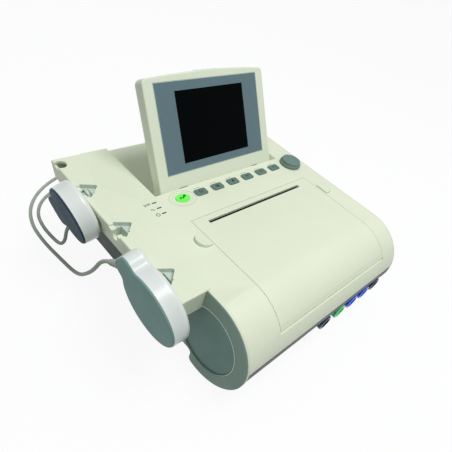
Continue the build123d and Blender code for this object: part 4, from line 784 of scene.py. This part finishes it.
def dark_screen(name):
    """Switched-off panel: near black under a clear front, with a faint pixel grid."""
    s = Shader(name)
    grid = s.add("ShaderNodeTexChecker")
    grid.inputs["Scale"].default_value = 1600
    grid.inputs["Color1"].default_value = linear(7, 8, 9)
    grid.inputs["Color2"].default_value = linear(4, 5, 6)
    s.link(s.place, grid.inputs["Vector"])
    s.color(grid.outputs["Color"])
    s.roughness(s.clouds(25, 3, 0.05, 0.12))
    s.bump(s.noise(1500, 1), 0.05, distance=0.00002)
    s.set(ior=1.1)
    return s.material


def lens(name, rgb):
    """Tinted lamp lens, a little cloudy inside."""
    s = Shader(name)
    color = linear(*rgb)
    s.color(s.mix(s.clouds(120, 3), shade(color, 0.88), shade(color, 1.1)))
    s.roughness(s.clouds(90, 2, 0.14, 0.24))
    s.bump(s.noise(500, 2), 0.1, distance=0.0001)
    s.set(coat=0.4, coat_rough=0.08)
    return s.material


# Case and display
shell = plastic("shell_plastic", (227, 232, 210), rough=0.42, vary=0.035)
# The second colour is painted shade for the shelf's pockets
cover = cover_plastic("cover_plastic", (227, 232, 210), (205, 217, 208))
housing = plastic("display_housing_plastic", (226, 232, 211), rough=0.4, vary=0.03)
# Side panel colours: ring, painted shade of the dish, painted shade of the rest, rim
side = dished("side_panel_plastic", (138, 162, 151), (115, 147, 140), (44, 58, 57), (227, 232, 210))
lower = plastic("lower_cover_plastic", (66, 80, 76), rough=0.5, grain=800, depth=0.7, vary=0.08)
window = plastic(
    "window_panel", (91, 115, 125), rough=0.3, grain=500, depth=0.15, vary=0.03,
    coat=0.5, coat_rough=0.12,
)
screen = dark_screen("screen_glass")
alarm = lens("alarm_lens_plastic", (190, 226, 232))

# Keys, knob, lamps and sockets
key_plastic = plastic("key_plastic", (101, 127, 117), rough=0.45, vary=0.08, edge_highlight=0.12)
knob_plastic = plastic("knob_plastic", (112, 136, 130), rough=0.45, vary=0.08, edge_highlight=0.12)
# Painted glow: the start key gives off a faint green light though it is no lamp
green_key = plastic(
    "green_key_plastic", (112, 246, 92), rough=0.35, vary=0.06,
    glow=0.12, glow_color=linear(110, 250, 90),
)
lamp = lens("lamp_window", (92, 104, 96))
sockets = {
    "toco_socket": plastic("socket_green", (66, 224, 132), rough=0.25, vary=0.12, coat=0.3),
    "ultrasound_sockets": plastic("socket_blue", (36, 92, 250), rough=0.25, vary=0.12, coat=0.3),
    "auxiliary_sockets": plastic("socket_dark", (34, 50, 92), rough=0.3, vary=0.15, coat=0.3),
}

# Transducers and cables
transducer_white = plastic(
    "transducer_plastic", (231, 235, 233), rough=0.3, grain=600, depth=0.15, vary=0.02,
    coat=0.25, coat_rough=0.2,
)
slate_face = plastic(
    "rear_face_plastic", (62, 84, 100), rough=0.5, grain=500, depth=0.15, vary=0.1, ior=1.12
)
grey_face = plastic(
    "front_face_plastic", (132, 168, 163), rough=0.5, grain=500, depth=0.2, vary=0.08, ior=1.2
)
button_plastic = plastic("button_plastic", (196, 207, 198), rough=0.45, vary=0.05)
crystal = plastic("crystal_ceramic", (200, 194, 180), rough=0.6, grain=1500, depth=0.4)
plug_plastic = plastic("plug_plastic", (86, 98, 104), rough=0.4, vary=0.1)
cable_rubber = rubber("cable_jacket", (170, 179, 166))
relief_rubber = rubber("relief_rubber", (168, 176, 165))

# Recorder, rear wall, feet and the inside
bin_plastic = plastic("bin_plastic", (74, 88, 84), rough=0.5)
nylon = plastic("gear_nylon", (230, 228, 220), rough=0.35, depth=0.2)
black = plastic("black_plastic", (34, 36, 38), rough=0.3, vary=0.2)
cell = plastic("cell_wrap", (62, 92, 150), rough=0.25, depth=0.1, vary=0.08)
steel = metal("steel", (176, 178, 182))
head_metal = metal("head_metal", (150, 152, 156), 0.4)
can = metal("motor_can", (110, 112, 116), 0.42)
speaker_metal = metal("speaker_metal", (70, 70, 74), 0.45)
foot_rubber = rubber("foot_rubber", (48, 50, 50))
roller_rubber = rubber("roller_rubber", (56, 56, 58), 0.5)
green_board = board("circuit_board")
paper_stack = paper("paper_stack")

node_materials = {
    "top_cover": cover, "drawer_cover": shell, "latch_left": shell, "latch_right": shell,
    "bottom_cover": lower, "rear_panel": lower, "socket_panel": lower,
    "left_side_panel": side, "right_side_panel": side, "feet": foot_rubber,
    "case_screws": steel, "key_board": green_board, "lamp_lenses": lamp, "knob": knob_plastic,
    "knob_shaft": steel, "encoder_body": head_metal, "display_bezel": housing,
    "display_back": housing, "display_window": window, "lcd_module": screen,
    "alarm_lens": alarm, "hinge_brackets": steel, "paper_bin": bin_plastic,
    "paper_pack": paper_stack, "platen_roller": roller_rubber, "drive_gear": nylon,
    "printer_motor": can, "print_head": head_metal, "inlet_and_switch": black,
    "power_rocker": black, "main_board": green_board, "power_supply": green_board,
    "battery_pack": cell, "speaker": speaker_metal, "start_key": green_key, **sockets,
}
for number in key_numbers:
    node_materials[f"key_{number}"] = key_plastic
for which, face in (("rear", slate_face), ("front", grey_face)):
    node_materials[which + "_transducer_shell"] = transducer_white
    node_materials[which + "_transducer_face"] = face
    node_materials[which + "_transducer_element"] = crystal
    node_materials[which + "_belt_button"] = button_plastic
    node_materials[which + "_strain_relief"] = relief_rubber
    node_materials[which + "_cable"] = cable_rubber
    node_materials[which + "_cable_coil"] = cable_rubber
    node_materials[which + "_cable_plug"] = plug_plastic
for node, material in node_materials.items():
    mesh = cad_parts[node].data
    mesh.materials.clear()
    mesh.materials.append(material)
for piece in cables:
    piece.data.materials.clear()
    piece.data.materials.append(cable_rubber)

# Inks and lines
ink = plastic("print_ink", (34, 40, 40), rough=0.6, grain=1200, depth=0.2, vary=0.2, edge_highlight=0.0)
key_ink = plastic("key_ink", (30, 42, 42), rough=0.55, grain=1200, depth=0.2, vary=0.2, edge_highlight=0.0)
green_ink = plastic("green_ink", (18, 92, 22), rough=0.5, grain=1200, depth=0.2, vary=0.2, edge_highlight=0.0)
pale_line = plastic("pale_line", (176, 190, 180), rough=0.45, vary=0.05)
oval_plastic = plastic("ring_plastic", (206, 210, 193), rough=0.45, vary=0.05)
# The first colour is the painted highlight, the second the bead's dull colour
dish_glint = bead_plastic("dish_glint", (250, 252, 246), (128, 150, 143))

key_symbols(key_ink)
start_sign(green_ink)
deck_marks(ink)
start_ring(oval_plastic)
window_edge(pale_line)
for name in reliefs:
    relief_ribs(name, relief_rubber)
socket_contacts(steel)
dish_glint_lines(dish_glint)


# Floor, backdrop and light, in metres
floor_reach = 6
floor_color = (0.345, 0.37, 0.36, 1)
floor_glow = 1.15
floor_glow_share = 0.8                  # of what the camera, mirrors and glass see
backdrop_light = 0.44
backdrop_tint = (0.93, 1, 0.97, 1)
white = (1, 1, 1, 1)
key_light_place = (0.12, -0.38, 1.75)
key_light_target = (0.03, 0.0, 0.1)
key_light_size = 0.8
key_light_power = 17


def white_floor():
    """Looks white to the camera, in mirrors and through glass, and grey to other light."""
    s = Shader("studio_floor")
    s.surface.inputs["Base Color"].default_value = floor_color
    s.set(rough=0.9)
    glow = s.add("ShaderNodeEmission")
    glow.inputs["Color"].default_value = white
    glow.inputs["Strength"].default_value = floor_glow
    rays = s.add("ShaderNodeLightPath")
    seen = s.math("ADD", rays.outputs["Is Camera Ray"], rays.outputs["Is Glossy Ray"])
    seen = s.math("ADD", seen, rays.outputs["Is Transmission Ray"])
    mix = s.add("ShaderNodeMixShader")
    s.link(s.math("MULTIPLY", seen, floor_glow_share), mix.inputs["Fac"])
    s.link(s.surface.outputs["BSDF"], mix.inputs[1])
    s.link(glow.outputs["Emission"], mix.inputs[2])
    s.link(mix.outputs["Shader"], s.tree.nodes["Material Output"].inputs["Surface"])
    return s.material


def make_floor():
    mesh = bpy.data.meshes.new("floor")
    corners = [(x * floor_reach, y * floor_reach, 0) for x, y in ((-1, -1), (1, -1), (1, 1), (-1, 1))]
    mesh.from_pydata(corners, [], [(0, 1, 2, 3)])
    floor = bpy.data.objects.new("floor", mesh)
    bpy.context.scene.collection.objects.link(floor)
    mesh.materials.append(white_floor())


def make_world():
    """A backdrop that is white to the camera and a dimmer, tinted light to everything else."""
    world = bpy.data.worlds.new("studio")
    bpy.context.scene.world = world
    world.use_nodes = True
    tree = world.node_tree
    back = tree.nodes["Background"]
    seen = tree.nodes.new("ShaderNodeLightPath").outputs["Is Camera Ray"]
    tree.links.new(mix_colors(tree, seen, backdrop_tint, white), back.inputs["Color"])
    strength = tree.nodes.new("ShaderNodeMapRange")
    strength.inputs["To Min"].default_value = backdrop_light
    strength.inputs["To Max"].default_value = 1.0
    tree.links.new(seen, strength.inputs["Value"])
    tree.links.new(strength.outputs["Result"], back.inputs["Strength"])


def make_key_light():
    data = bpy.data.lights.new("key", "AREA")
    data.shape = "DISK"
    data.size = key_light_size
    data.energy = key_light_power
    light = bpy.data.objects.new("key", data)
    bpy.context.scene.collection.objects.link(light)
    light.location = key_light_place
    way = Vector(key_light_target) - Vector(key_light_place)
    light.rotation_euler = way.to_track_quat("-Z", "Y").to_euler()


make_floor()
make_world()
make_key_light()
bpy.context.scene.view_settings.view_transform = "Standard"
